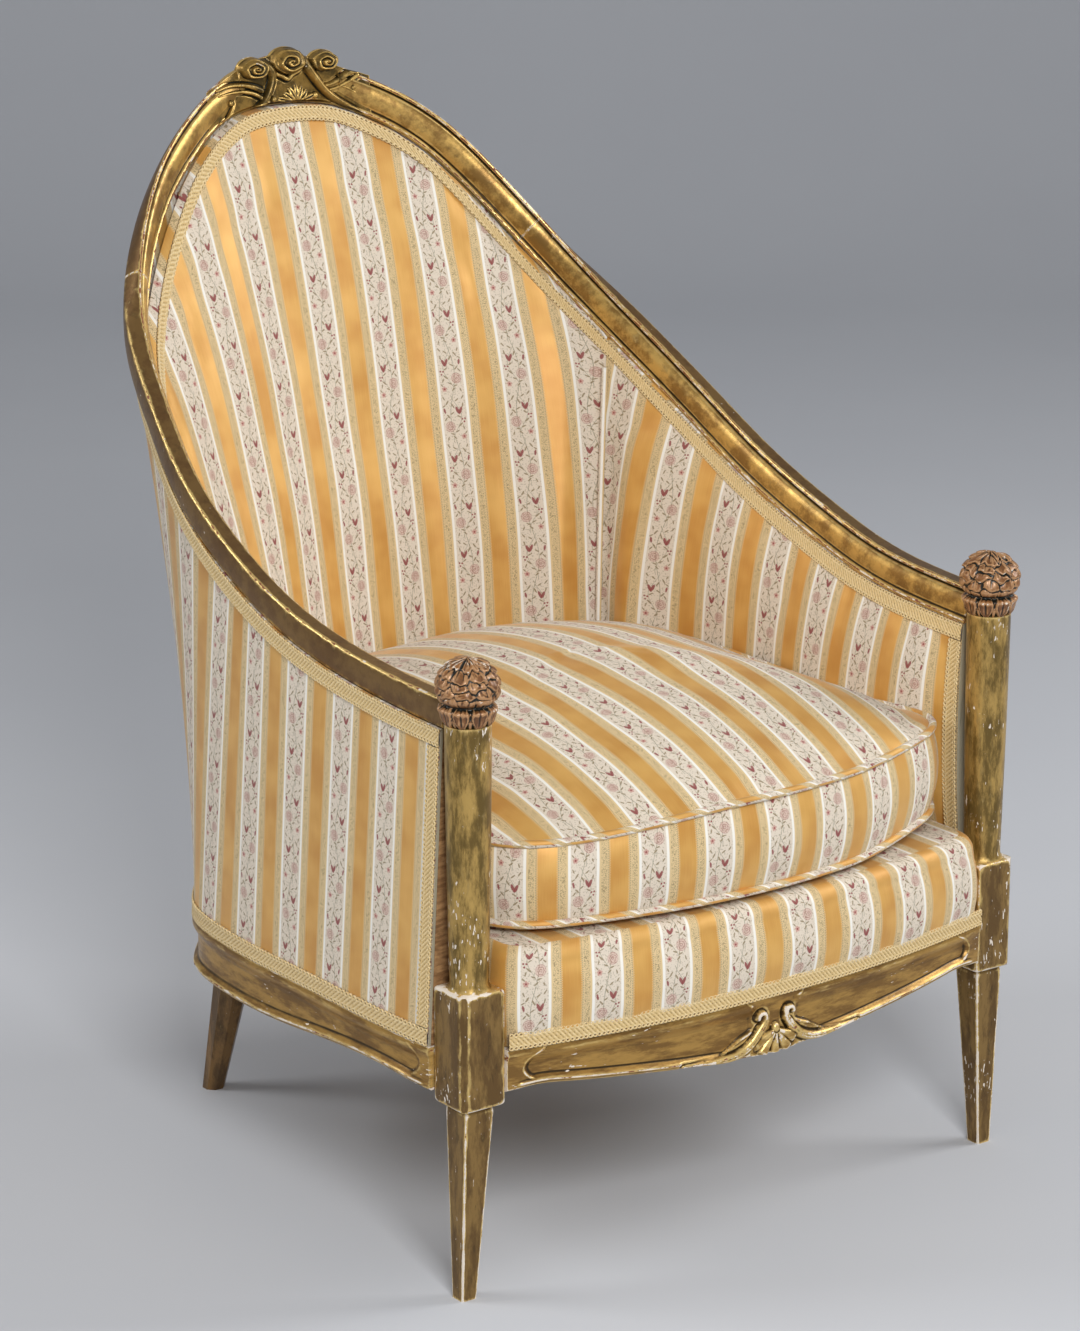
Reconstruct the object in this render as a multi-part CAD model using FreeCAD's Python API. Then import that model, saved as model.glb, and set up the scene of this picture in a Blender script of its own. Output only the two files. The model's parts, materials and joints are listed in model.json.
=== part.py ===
"""Tub chair: a carved show-wood frame, stuffed back and arms, and a loose seat cushion.

The model has +Z up and the chair's front towards -Y. Its origin is the middle of the
footprint, on the floor. Lengths are millimetres. Left is -X and right is +X, as seen by
someone who faces the chair. Values that end in share or shares are plain ratios.
"""
import FreeCAD, Part
import math
import os

from FreeCAD import Vector

# Overall sizes
chair_depth = 842.0
crest_height = 998.0
seat_half_width = 336.5
rail_inset = 7.5
seat_rail_top = 239.0
seat_rail_height = 51.0
seat_rail_thickness = 30.0
back_rake = 190.0
contact_gap = 0.3
lining_gap = 0.5
merge_distance = 1e-5
flat_distance = 1e-9

# Front posts and their finials
post_inset = 32.5
post_setback = 74.0
block_side = 46.0
block_corner = 11.0
block_height = 109.0
block_top = 297.0
front_leg_top_side = 31.0
front_leg_neck_side = 28.0
front_leg_neck_height = 7.0
front_leg_foot_side = 16.0
front_leg_splay = 7.0
leg_chamfer_share = 0.12
column_foot_radius = 17.5
column_top_radius = 21.0
collar_bottom = 541.0
collar_radius = 25.0
finial_top = 602.0
finial_radius = 28.5
finial_lobes = 12
spigot_radius = 8.0
spigot_length = 30.0
spigot_fit = 0.1

# Rear legs
rear_leg_top_width = 41.0
rear_leg_foot_width = 21.0
rear_leg_splay = 54.0
rear_leg_spread = 3.0
rear_head_width = 56.0
rear_head_thickness = 28.0
rear_head_rise = 40.0
rear_head_drop = 12.0

# Arm and crest rails
arm_front_height = 561.0
arm_rail_height = 34.0
arm_rail_outer_height = 27.0
crest_rail_height = 38.0
rail_top_width = 16.0
arm_face_slope = 10.0
crest_face_slope = 3.0
crest_back_fall = 18.0
rail_end_reach = 19.0
moulding_relief = 3.0
dowel_radius = 5.0
dowel_length = 44.0
dowel_fit = 0.05
dowel_inset_share = 0.7

# Crest carving
carving_thickness = 13.0
cresting_relief = 7.0
rose_rise = 19.0
rose_half_width = 17.5
rose_half_height = 13.5
side_rose_half_width = 12.0
side_rose_half_height = 10.0
side_rose_span = 44.0
side_rose_drop = 5.5
rose_relief = 21.0
rose_lobes = 8
cresting_half_width = 78.0

# Front rail
front_corner_setback = 49.0
front_bow = 33.0
front_inner_setback = 76.0
front_rail_drop = 3.5
front_haunch_rise = 18.5
palmette_width = 58.0
palmette_height = 27.0
petal_width = 10.0
petals = 5
fan_half_angle = 66.0
panel_sink = 3.0
panel_border = 9.0
panel_fade_share = 0.1

# Side and back seat rails
side_haunch_rise = 14.0
rail_lip = 3.0

# Inner frame
cover_thickness = 3.0
frame_thickness = 18.0
frame_top_thickness = 5.0
top_kink = 36.0
stile_width = 24.0
stay_rail_height = 34.0
stay_rail_rise = 55.0
upright_width = 46.0
corner_block_reach = 58.0
corner_block_height = 40.0
corner_block_drop = 9.0
screw_radius = 3.0
screw_fit = 0.1
screw_head_radius = 6.0
screw_head_height = 3.0
screw_length = 36.0

# Webbing and hessian
strap_width = 48.0
strap_thickness = 1.5
strap_seat = 8.0
strap_ramp = 8.0
strap_pitch_x = 92.0
strap_pitch_y = 96.0
strap_columns = 5
strap_rows = 5
back_straps = 5
back_strap_width = 40.0
hessian_thickness = 1.2

# Stuffed parts
pad_thickness = 32.0
pad_rise = 60.0
pad_edge_share = 0.30
pad_foot_share = 0.70
pad_edge_run = 70.0
seam_lean = 58.0
deck_height = 331.0
deck_side_inset = 58.5
deck_bulge = 5.0
deck_belly_share = 0.45
deck_edge_roll = 14.0
edge_round_share = 0.3
deck_back_inset = 47.0
deck_corner_reach = 12.0
seat_side_run = 306.0
seat_back_power_share = 0.8
cushion_gap = 0.4
cushion_side_inset = 72.5
cushion_front_setback = 32.0
cushion_corner_setback = 86.0
cushion_back_inset = 38.0
cushion_corner_reach = 50.0
cushion_bottom_crown = 9.0
cushion_band_height = 88.0
cushion_band_bulge = 4.0
cushion_crown = 71.0
cushion_side_draw_share = 0.2
cord_radius = 4.0

# Gimp braid
gimp_width = 17.0
gimp_thickness = 2.0

# Shares of the rail path, from the middle of the crest to the front of the arm
rail_x_shares = (0.0, 0.2243, 0.3936, 0.563, 0.710, 0.829, 0.924, 0.974, 0.993, 0.996, 0.977, 0.967, 0.9635)
rail_y_shares = (1.0, 0.9907, 0.958, 0.919, 0.8665, 0.793, 0.6675, 0.5634, 0.439, 0.3138, 0.1816, 0.0587, 0.0)
rail_z_shares = (1.0, 0.982, 0.929, 0.833, 0.700, 0.556, 0.389, 0.270, 0.1556, 0.0755, 0.024, 0.0046, 0.0)

# Shares of the seat rail's plan at the same rows
seat_x_shares = (0.0, 0.208, 0.3596, 0.523, 0.6746, 0.7905, 0.903, 0.966, 0.9985, 1.0, 1.0, 0.995, 0.985)
seat_y_shares = (1.0, 0.9957, 0.9836, 0.9578, 0.9167, 0.867, 0.788, 0.708, 0.537, 0.389, 0.2306, 0.072, 0.0)

# Shares of a moulded face: along it from the top edge, and proud of it in moulding reliefs
moulding_shares = ((0.0, 0.0), (0.12, 0.0), (0.18, -0.9), (0.27, 0.1), (0.43, 0.8),
                   (0.60, 0.7), (0.72, -0.1), (0.80, -0.9), (0.87, 0.0), (1.0, 0.0))

# Shares of a carved bud: height from its foot, and radius of its widest lobes
bud_shares = ((0.0, 0.74), (0.10, 0.87), (0.24, 0.91), (0.32, 0.86), (0.42, 0.99), (0.56, 1.0),
              (0.70, 0.93), (0.84, 0.72), (0.95, 0.40), (1.0, 0.16))
lobe_relief_share = 0.05

# Shares of a carved rose: depth from its back, and radius
rose_shares = ((0.0, 0.90), (0.60, 1.0), (0.74, 0.88), (0.70, 0.70), (0.90, 0.58), (0.84, 0.40), (1.0, 0.22))

# Shares of the cresting's outline over the rail: across it, and of the rose rise above the rail
cresting_shares = ((-1.0, 0.0), (-0.74, 0.22), (-0.5, 0.42), (-0.28, 0.60), (0.0, 0.70),
                   (0.28, 0.60), (0.5, 0.42), (0.74, 0.22), (1.0, 0.0))

# Shares of the lower edges' rise: along the rail, and of the haunch rise
front_edge_shares = ((0.0, 0.0), (0.16, 0.0), (0.34, 0.2), (0.54, 0.48), (0.74, 0.76), (0.886, 1.0), (1.0, 0.8))
side_edge_shares = ((0.0, 0.55), (0.07, 0.9), (0.13, 1.0), (0.22, 0.7), (0.36, 0.15), (0.5, 0.0), (1.0, 0.0))

# Shares of the front rail's fan: reach along a petal, and of its half width and relief there
petal_shares = ((0.0, 0.4, 0.4), (0.55, 1.0, 1.0), (0.85, 0.77, 0.6), (1.0, 0.25, 0.3))

# Shares of the cushion's underside: drawn in from the welt, and risen to it
underside_shares = ((0.22, 0.0), (0.07, 0.5))

# Shares of the cushion's band: risen from the lower welt, and of the band's bulge
band_shares = ((0.0, 0.0), (0.22, 0.75), (0.5, 1.0), (0.78, 0.75))

# Shares of the cushion's crown: drawn in from the welt, and risen above it
crown_shares = ((0.0, 0.0), (0.06, 0.12), (0.16, 0.27), (0.30, 0.46), (0.48, 0.67), (0.70, 0.86), (0.90, 1.0))

# Rows of the path where pieces meet, and the steps that curves are cut into
crest_face_row = 3
arm_face_row = 6
joint_row = 4.5
seam_row = 5.0
leg_row = 4.0
row_steps = 3
column_sides = 32
cord_sides = 6
screw_sides = 12
screw_head_sides = 6
rear_leg_sides = 8
rail_search_steps = 6
pad_steps = 6
front_steps = 12
corner_steps = 4
side_steps = 3
back_steps = 14

# Places worked out from the sizes
half_depth = chair_depth / 2
post_x = seat_half_width - post_inset
post_y = post_setback - half_depth
block_bottom = block_top - block_height
rail_half_width = seat_half_width - rail_inset
rail_front_y = post_y + rail_end_reach
seat_front_y = post_y + block_side / 2 + contact_gap
seat_back_y = half_depth - back_rake
seat_rail_bottom = seat_rail_top - seat_rail_height
frame_outer = cover_thickness + 2 * contact_gap
frame_inner = frame_outer + frame_thickness
frame_top_inner = frame_outer + frame_top_thickness
lining_outer = frame_inner + lining_gap
lining_top_outer = frame_top_inner + lining_gap
pad_back = lining_outer + strap_thickness + contact_gap
pad_top_back = lining_top_outer + strap_thickness + contact_gap
weave_top = seat_rail_top + 2 * strap_thickness + 3 * contact_gap
deck_bottom = weave_top + hessian_thickness + contact_gap
deck_half_width = seat_half_width - deck_side_inset
cushion_half_width = seat_half_width - cushion_side_inset
cushion_bottom = deck_height + cushion_gap
bottom_welt = cushion_bottom + cushion_bottom_crown
top_welt = bottom_welt + cushion_band_height
cushion_top = top_welt + cushion_crown
front_corner_y = front_corner_setback - half_depth
front_inner_y = front_inner_setback - half_depth
front_rail_bottom = seat_rail_bottom - front_rail_drop
front_end_x = post_x - block_side / 2 - contact_gap
origin = Vector(0, 0, 0)
across = Vector(1, 0, 0)
middle_row = len(rail_x_shares) - 1


def between(low, high, share):
    """Value at a share of the way from low to high, for numbers and for vectors."""
    return low + (high - low) * share


def smooth(share):
    """Ease from 0 to 1 with no kink at either end."""
    share = min(1.0, max(0.0, share))
    return share * share * (3 - 2 * share)


def table_value(table, place):
    """Value of a table of (place, value) rows, with straight lines between its rows."""
    for (a, low), (b, high) in zip(table, table[1:]):
        if place <= b:
            return between(low, high, max(0.0, place - a) / (b - a))
    return table[-1][1]


def mirrored(xs, ys, zs):
    """Points from the left front round the back to the right front."""
    right = list(zip(xs, ys, zs))
    left = [(-x, y, z) for x, y, z in reversed(right[1:])]
    return [Vector(x, y, z) for x, y, z in left + right]


# The paths of the arm and crest rails and of the seat rails, on one shared parameter
rail_points = mirrored(
    [rail_half_width * share for share in rail_x_shares],
    [between(rail_front_y, half_depth, share) for share in rail_y_shares],
    [between(arm_front_height, crest_height, share) for share in rail_z_shares])
seat_points = mirrored(
    [seat_half_width * share for share in seat_x_shares],
    [between(seat_front_y, seat_back_y, share) for share in seat_y_shares],
    [seat_rail_top for share in seat_x_shares])
rail_runs = [(b - a).Length for a, b in zip(rail_points, rail_points[1:])]
rail_length = sum(rail_runs)
parameters = [sum(rail_runs[:count]) / rail_length for count in range(len(rail_points))]
parameters[-1] = 1.0
rail_path = Part.BSplineCurve()
rail_path.interpolate(Points=rail_points, Parameters=parameters)
seat_path = Part.BSplineCurve()
seat_path.interpolate(Points=seat_points, Parameters=parameters)
row_places = [parameter - parameters[middle_row] for parameter in parameters]


def row_place(row):
    """Place of a row: its distance from the middle of the path, as a share of the path."""
    whole = min(int(row), middle_row - 1)
    low = row_places[middle_row + whole]
    high = row_places[middle_row + whole + 1]
    return between(low, high, row - whole)


def run_share(length):
    """Share of the path that a length along the rail takes."""
    return length / rail_length


front_place = row_places[-1]
crest_place = row_place(crest_face_row)
arm_place = row_place(arm_face_row)
joint_place = row_place(joint_row)
seam_place = row_place(seam_row)
leg_place = row_place(leg_row)
grid_places = [between(low, high, step / row_steps)
               for low, high in zip(row_places, row_places[1:]) for step in range(row_steps)] + [front_place]


class Slice:
    """One upright slice of the wall, from the seat rail up to the arm or crest rail."""

    def __init__(self, place, foot, head, directions):
        self.place = place
        self.foot = foot
        self.head = head
        self.directions = directions
        self.flat_in, self.up, self.inward, self.rail_in, self.rail_up = directions
        self.crest_share = smooth((arm_place - abs(place)) / (arm_place - crest_place))
        self.rail_height = between(arm_rail_height, crest_rail_height, self.crest_share)
        self.face_slope = between(arm_face_slope, crest_face_slope, self.crest_share)
        self.outer_height = between(arm_rail_outer_height, crest_rail_height, self.crest_share)
        self.back_fall = crest_back_fall * self.crest_share

    def wall(self, inward, rise):
        """Point of the wall: inward from its outside, and up from the seat rail's top."""
        return self.foot + self.inward * inward + self.up * rise

    def seated(self, inward, height):
        """Point of the wall at a height above the seat rail's top."""
        return self.wall(inward, (height - self.inward.z * inward) / self.up.z)

    def rail(self, inward, rise):
        """Point of the rail's section: inward and up from its outer top edge."""
        return self.head + self.rail_in * inward + self.rail_up * rise

    def level(self, inward, height):
        """Point inside the seat rail's outer face at a height above the floor."""
        return Vector(self.foot.x, self.foot.y, height) + self.flat_in * inward

    def under_rail(self, inward):
        """Rise at which a line up the wall comes a contact gap under the rail."""
        rise = (self.head - self.foot).Length - self.rail_height
        for _ in range(rail_search_steps):
            point = self.wall(inward, rise)
            near = slice_at(rail_grid, rail_path.parameter(point) - parameters[middle_row])
            depth = (point - near.head).dot(near.rail_in) / (rail_top_width + near.face_slope)
            underside = between(near.outer_height, near.rail_height, min(1.0, max(0.0, depth)))
            height = (point - near.head).dot(near.rail_up) + underside + lining_gap
            rise -= height / self.up.dot(near.rail_up)
        return rise


def path_slice(place, lean):
    """Slice at a place of the path, its foot set back and its head set forward by a lean."""
    side = math.copysign(lean, place)
    foot_at = min(1.0, max(0.0, parameters[middle_row] + place - side))
    head_at = min(1.0, max(0.0, parameters[middle_row] + place + side))
    foot, foot_run = seat_path.getD1(foot_at)
    head, head_run = rail_path.getD1(head_at)
    flat = Vector(foot_run.x, foot_run.y, 0).normalize() + Vector(head_run.x, head_run.y, 0).normalize()
    flat.normalize()
    foot_run.normalize()
    head_run.normalize()
    up = (head - foot).normalize()
    level_in = Vector(flat.y, -flat.x, 0)
    inward = (level_in - up * level_in.dot(up)).normalize()
    rail_in = Vector(head_run.y, -head_run.x, 0).normalize()
    flat_in = Vector(foot_run.y, -foot_run.x, 0)
    return Slice(place, foot, head, (flat_in, up, inward, rail_in, rail_in.cross(head_run).normalize()))


def slice_at(grid, place):
    """Slice at any place, on the straight lines between the slices of a grid."""
    place = min(grid_places[-1], max(grid_places[0], place))
    index = max(1, min(len(grid_places) - 1, sum(1 for stop in grid_places if stop < place)))
    low, high = grid_places[index - 1], grid_places[index]
    share = (place - low) / (high - low)
    a, b = grid[index - 1], grid[index]
    return Slice(place, between(a.foot, b.foot, share), between(a.head, b.head, share),
                 [between(first, second, share) for first, second in zip(a.directions, b.directions)])


def leaning(place):
    """Lean of the wall's slices at a place, most at the seams of back and arms."""
    distance = abs(place)
    if distance < seam_place:
        return run_share(seam_lean) * smooth(distance / seam_place)
    return run_share(seam_lean) * smooth((front_place - distance) / (front_place - seam_place))


rail_grid = [path_slice(place, 0) for place in grid_places]
wall_grid = [path_slice(place, leaning(place)) for place in grid_places]


def stations(grid, low, high):
    """Slices from low to high, through each grid place between them."""
    margin = run_share(contact_gap)
    inner = [place for place in grid_places if low + margin < place < high - margin]
    return [slice_at(grid, place) for place in [low] + inner + [high]]


def closed(points):
    """Closed wire of straight edges."""
    return Part.makePolygon(points + [points[0]])


def flat_face(*corners):
    """Flat face with straight edges."""
    return Part.Face(closed(list(corners)))


def facing(a, b, c, d, out):
    """Flat faces over four corners: one if they lie in a plane, else two on the chosen diagonal.

    The chosen diagonal is the one further back from the outside if out is 1, and the one
    further forward if it is -1.
    """
    if min((a - b).Length, (b - c).Length, (c - d).Length, (d - a).Length) < merge_distance:
        corners = [corner for corner, after in ((a, b), (b, c), (c, d), (d, a))
                   if (corner - after).Length > merge_distance]
        return [flat_face(*corners)] if len(corners) == 3 else []
    normal = (c - a).cross(d - b)
    lead = (a + c - b - d).dot(normal) * out
    if abs(lead) < flat_distance * normal.Length:
        return [flat_face(a, b, c, d)]
    if lead < 0:
        return [flat_face(a, b, c), flat_face(a, c, d)]
    return [flat_face(a, b, d), flat_face(b, c, d)]


def skin(rings, out, thin=False):
    """Flat faces from ring to ring.

    A thin sheet's rings start with its lower edge and go up its inner wall, which gets the same
    diagonals as its outer wall, so that the two don't meet where the sheet twists.
    """
    first, second = rings[0], rings[1]
    turning = sum((a.cross(b) for a, b in zip(first, first[1:] + first[:1])), Vector(0, 0, 0))
    if turning.dot(second[0] - first[0]) < 0:
        out = -out
    faces = []
    for first, second in zip(rings, rings[1:]):
        for index, (a, d) in enumerate(zip(first, second)):
            after = (index + 1) % len(first)
            turned = -out if thin and 0 < index < len(first) // 2 else out
            faces += facing(a, first[after], second[after], d, turned)
    return faces


def solid_of(faces):
    """Solid inside a closed set of faces."""
    solid = Part.Solid(Part.Shell(faces))
    if solid.Volume < 0:
        solid.reverse()
    return solid


def loft(rings, out=1, thin=False):
    """Solid through rings of points, with flat faces from ring to ring."""
    return solid_of(skin(rings, out, thin) + [flat_face(*rings[0]), flat_face(*rings[-1])])


def prism(points, rise):
    """Solid made by moving a flat outline along a vector."""
    return Part.Face(closed(points)).extrude(rise)


def carried(grid, section, low, high, out=1, thin=False):
    """Solid of one section carried along the path from low to high."""
    return loft([section(piece) for piece in stations(grid, low, high)], out, thin)


def places(low, high, count):
    """Evenly spaced places from low to high, ends included."""
    return [between(low, high, index / (count - 1)) for index in range(count)]


def other_side(shape):
    """Mirror image on the chair's other side."""
    return shape.mirror(origin, across)


def write(name, shape):
    """Check a piece, report it and write its file."""
    state = "valid" if shape.isValid() else "NOT VALID"
    print(f"{name:28s} {state:9s} solids {len(shape.Solids)} volume {shape.Volume / 1000:9.1f} cm3")
    shape.exportStep(f"parts/{name}.step")


def write_pair(name, shape):
    """Write a right-hand piece and its mirror image."""
    write(name + "_right", shape)
    write(name + "_left", other_side(shape))


# Front posts, finials and rear legs
def regular_ring(centre, radius, sides):
    """Level ring of points, evenly spaced."""
    return [centre + Vector(math.cos(turn), math.sin(turn), 0) * radius
            for turn in (2 * math.pi * (side + 0.5) / sides for side in range(sides))]


def square_ring(centre, side):
    """Level square ring with chamfered corners."""
    half = side / 2
    cut = side * leg_chamfer_share
    ring = []
    for sx, sy in ((1, 1), (-1, 1), (-1, -1), (1, -1)):
        pair = [Vector(sx * half, sy * (half - cut), 0), Vector(sx * (half - cut), sy * half, 0)]
        ring += pair if sx * sy > 0 else pair[::-1]
    return [centre + point for point in ring]


def lobed_ring(centre, first, second, radius, lobes, phase):
    """Ring of carved lobes: points in and out of a round line, turned about by the phase."""
    ring = []
    for point in range(2 * lobes):
        turn = math.pi * point / lobes
        reach = radius * (1 - lobe_relief_share * (1 + (-1) ** (point + phase)))
        ring.append(centre + (first * math.cos(turn) + second * math.sin(turn)) * reach)
    return ring


def block_face():
    """Plan of the post's block, with its outer front corner rounded."""
    half = block_side / 2
    right = post_x + half
    front = post_y - half
    round_centre = Vector(right - block_corner, front + block_corner, block_bottom)
    start = Vector(right - block_corner, front, block_bottom)
    end = Vector(right, front + block_corner, block_bottom)
    middle = round_centre + Vector(1, -1, 0).normalize() * block_corner
    corners = [end, Vector(right, post_y + half, block_bottom), Vector(post_x - half, post_y + half, block_bottom),
               Vector(post_x - half, front, block_bottom), start]
    edges = [Part.LineSegment(a, b).toShape() for a, b in zip(corners, corners[1:])]
    return Part.Face(Part.Wire(edges + [Part.Arc(start, middle, end).toShape()]))


def front_post():
    """Square tapered leg, block and round column of the right front post."""
    foot = Vector(post_x + front_leg_splay, post_y, 0)
    neck = Vector(post_x, post_y, block_bottom - front_leg_neck_height)
    top = Vector(post_x, post_y, block_bottom)
    leg = loft([square_ring(foot, front_leg_foot_side), square_ring(neck, front_leg_top_side),
                square_ring(top, front_leg_neck_side)])
    block = block_face().extrude(Vector(0, 0, block_height))
    column = loft([regular_ring(Vector(post_x, post_y, block_top), column_foot_radius, column_sides),
                   regular_ring(Vector(post_x, post_y, collar_bottom), column_top_radius, column_sides)])
    socket = Part.makeCylinder(spigot_radius + spigot_fit, spigot_length + contact_gap,
                               Vector(post_x, post_y, collar_bottom), Vector(0, 0, -1))
    return leg.fuse(block).fuse(column).cut(socket).cut(screw_hole(block_screw_line()))


def finial():
    """Carved bud on a leafy collar, with the spigot that holds it in the column."""
    base = collar_bottom + contact_gap
    rings = []
    for phase, (height, reach) in enumerate(bud_shares):
        centre = Vector(post_x, post_y, between(base, finial_top, height))
        rings.append(lobed_ring(centre, across, Vector(0, 1, 0), finial_radius * reach, finial_lobes, phase))
    spigot = Part.makeCylinder(spigot_radius, spigot_length, Vector(post_x, post_y, base), Vector(0, 0, -1))
    return loft(rings, -1).fuse(spigot)


def rear_leg():
    """Splayed octagonal leg with the head that is glued and screwed inside the seat rail."""
    piece = slice_at(rail_grid, leg_place)
    top = piece.level(rear_leg_top_width / 2, seat_rail_bottom - contact_gap)
    foot = Vector(top.x + rear_leg_spread, top.y + rear_leg_splay, 0)
    across_flats = math.cos(math.pi / rear_leg_sides) * 2
    leg = loft([regular_ring(foot, rear_leg_foot_width / across_flats, rear_leg_sides),
                regular_ring(top, rear_leg_top_width / across_flats, rear_leg_sides)])
    low = seat_rail_thickness + contact_gap
    high = low + rear_head_thickness

    def section(piece):
        """Section of the head inside the seat rail."""
        return [piece.level(low, seat_rail_bottom - rear_head_drop), piece.level(high, seat_rail_bottom - rear_head_drop),
                piece.level(high, seat_rail_bottom + rear_head_rise), piece.level(low, seat_rail_bottom + rear_head_rise)]

    half = run_share(rear_head_width / 2) * rail_length / seat_length_share()
    head = carried(rail_grid, section, leg_place - half, leg_place + half)
    return leg.fuse(head).cut(screw_hole(leg_screw_line()))


def seat_length_share():
    """Length of seat rail for a whole path at the rear leg, where the two paths differ most."""
    step = run_share(rear_head_width)
    low = slice_at(rail_grid, leg_place - step)
    high = slice_at(rail_grid, leg_place + step)
    return (high.foot - low.foot).Length / (2 * step)


def leg_screw_line():
    """Point under the head and direction of the screw that holds a rear leg."""
    piece = slice_at(rail_grid, leg_place)
    inner = seat_rail_thickness + 2 * contact_gap + rear_head_thickness
    return piece.level(inner, seat_rail_bottom + rear_head_rise / 2), piece.flat_in.normalize() * -1


def many_sided_bar(start, direction, radius, length, sides):
    """Prism with a regular end, along a direction."""
    first = direction.cross(Vector(0, 0, 1)).normalize()
    second = direction.cross(first)
    ring = [start + (first * math.cos(turn) + second * math.sin(turn)) * radius
            for turn in (2 * math.pi * side / sides for side in range(sides))]
    return prism(ring, direction * length)


def screw_at(line):
    """Coach screw with a six-sided head, whose shank starts at a point and runs along a direction."""
    start, direction = line
    head = many_sided_bar(start, direction * -1, screw_head_radius, screw_head_height, screw_head_sides)
    return head.fuse(many_sided_bar(start, direction, screw_radius, screw_length, screw_sides))


def screw_hole(line):
    """Hole for the shank of a coach screw, a little longer than the shank."""
    start, direction = line
    return many_sided_bar(start, direction, screw_radius + screw_fit, screw_length + screw_fit, screw_sides)


# Arm and crest rails
def rail_section(piece):
    """Section of the moulded arm or crest rail."""
    top = Vector(rail_top_width, 0, 0)
    foot = Vector(rail_top_width + piece.face_slope, -piece.rail_height, 0)
    along = (foot - top).normalize()
    length = (foot - top).Length
    proud = Vector(-along.y, along.x, 0)
    ring = [piece.rail(0, -piece.back_fall)]
    for reach, relief in moulding_shares:
        point = top + along * (length * reach) + proud * (moulding_relief * relief)
        ring.append(piece.rail(point.x, point.y))
    ring.append(piece.rail(0, -piece.outer_height))
    return ring


def rail_dowel(fit):
    """Dowel across the joint of the crest rail and the right arm rail."""
    piece = slice_at(rail_grid, joint_place)
    run = piece.rail_up.cross(piece.rail_in).normalize()
    centre = piece.rail(rail_top_width * dowel_inset_share, -piece.rail_height / 2)
    return Part.makeCylinder(dowel_radius + fit, dowel_length + 2 * fit, centre - run * (dowel_length / 2 + fit), run)


def arm_rail():
    """Moulded arm rail, scribed to the column and the finial at its front."""
    solid = carried(rail_grid, rail_section, joint_place + run_share(contact_gap), front_place)
    scribe = (collar_radius + finial_radius) / 2 + contact_gap
    column = Part.makeCylinder(scribe, finial_top - block_top, Vector(post_x, post_y, block_top))
    return solid.cut(column).cut(rail_dowel(dowel_fit))


def rose(half_width, half_height, span, top, back):
    """Carved rose: rings of petals that rise towards its middle, from a back plane."""
    front = half_depth - rail_top_width - rose_relief
    rings = []
    for phase, (depth, reach) in enumerate(rose_shares):
        centre = Vector(span, between(back, front, depth), top - half_height)
        rings.append(lobed_ring(centre, Vector(half_width, 0, 0), Vector(0, 0, half_height), reach, rose_lobes, phase))
    return loft(rings, -1)


def crest_rail():
    """Moulded crest rail with its carved cresting and three roses."""
    solid = carried(rail_grid, rail_section, -joint_place, joint_place)
    back = half_depth - rail_top_width - cresting_relief + carving_thickness
    foot = crest_height - crest_rail_height / 2
    outline = [Vector(cresting_half_width * share, back, rail_height_at(abs(cresting_half_width * share))
                      + rose_rise * rise) for share, rise in cresting_shares]
    outline += [Vector(cresting_half_width, back, foot), Vector(-cresting_half_width, back, foot)]
    solid = solid.fuse(prism(outline, Vector(0, -carving_thickness, 0)))
    top = crest_height + rose_rise
    solid = solid.fuse(rose(rose_half_width, rose_half_height, 0, top, back))
    for side in (-1, 1):
        solid = solid.fuse(rose(side_rose_half_width, side_rose_half_height, side * side_rose_span,
                                top - side_rose_drop, back))
    hole = rail_dowel(dowel_fit)
    return solid.cut(hole).cut(other_side(hole))


def rail_height_at(x):
    """Height of the crest rail's top edge at a distance from the chair's middle."""
    table = [(piece.head.x, piece.head.z) for piece in rail_grid if piece.place >= 0]
    return table_value(table, x)


# Seat rails
def front_face_y(x):
    """Outer face of the bowed front rail."""
    return front_corner_y - front_bow * (1 - (x / front_end_x) ** 2)


def panelled(bottom, sink):
    """Depths and heights of a rail's face with a sunk panel, from its top edge down."""
    return [(0, seat_rail_top), (0, seat_rail_top - panel_border / 2), (sink, seat_rail_top - panel_border),
            (sink, bottom + 2 * panel_border), (0, bottom + panel_border), (0, bottom + rail_lip), (rail_lip, bottom)]


def panel_depth(share):
    """Depth of a sunk panel at a share of its length, rising to nothing at both ends."""
    return panel_sink * smooth((1 - share) / panel_fade_share) * smooth(share / panel_fade_share)


def front_rail_ring(share):
    """Upright section of the front rail at a share of its half length."""
    x = share * front_end_x
    face = front_face_y(x)
    bottom = front_rail_bottom + front_haunch_rise * table_value(front_edge_shares, abs(share))
    ring = [Vector(x, face + depth, height) for depth, height in panelled(bottom, panel_depth(abs(share)))]
    return ring + [Vector(x, front_inner_y, bottom), Vector(x, front_inner_y, seat_rail_top)]


def petal(lean):
    """One petal of the carved fan, leaning to one side by an angle."""
    face = front_face_y(0)
    relief = front_corner_setback - front_bow
    root = Vector(0, face + panel_sink, front_rail_bottom + rail_lip)
    length = palmette_height * math.cos(lean) + palmette_width / 2 * math.sin(abs(lean)) - petal_width / 2
    along = Vector(math.sin(lean), 0, math.cos(lean))
    side = Vector(math.cos(lean), 0, -math.sin(lean))
    front = Vector(0, -1, 0)

    rings = []
    for reach, breadth, depth in petal_shares:
        centre = root + along * (length * reach)
        half = side * (petal_width / 2 * breadth)
        rings.append([centre - half, centre + front * (relief * depth), centre + half, centre - front * panel_sink])
    return loft(rings)


def front_seat_rail():
    """Bowed front rail with sunk panels, a shaped lower edge and the carved fan."""
    solid = loft([front_rail_ring(share) for share in places(-1, 1, 2 * front_steps + 1)])
    spread = math.radians(fan_half_angle)
    return solid.multiFuse([petal(lean) for lean in places(-spread, spread, petals)])


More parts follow.
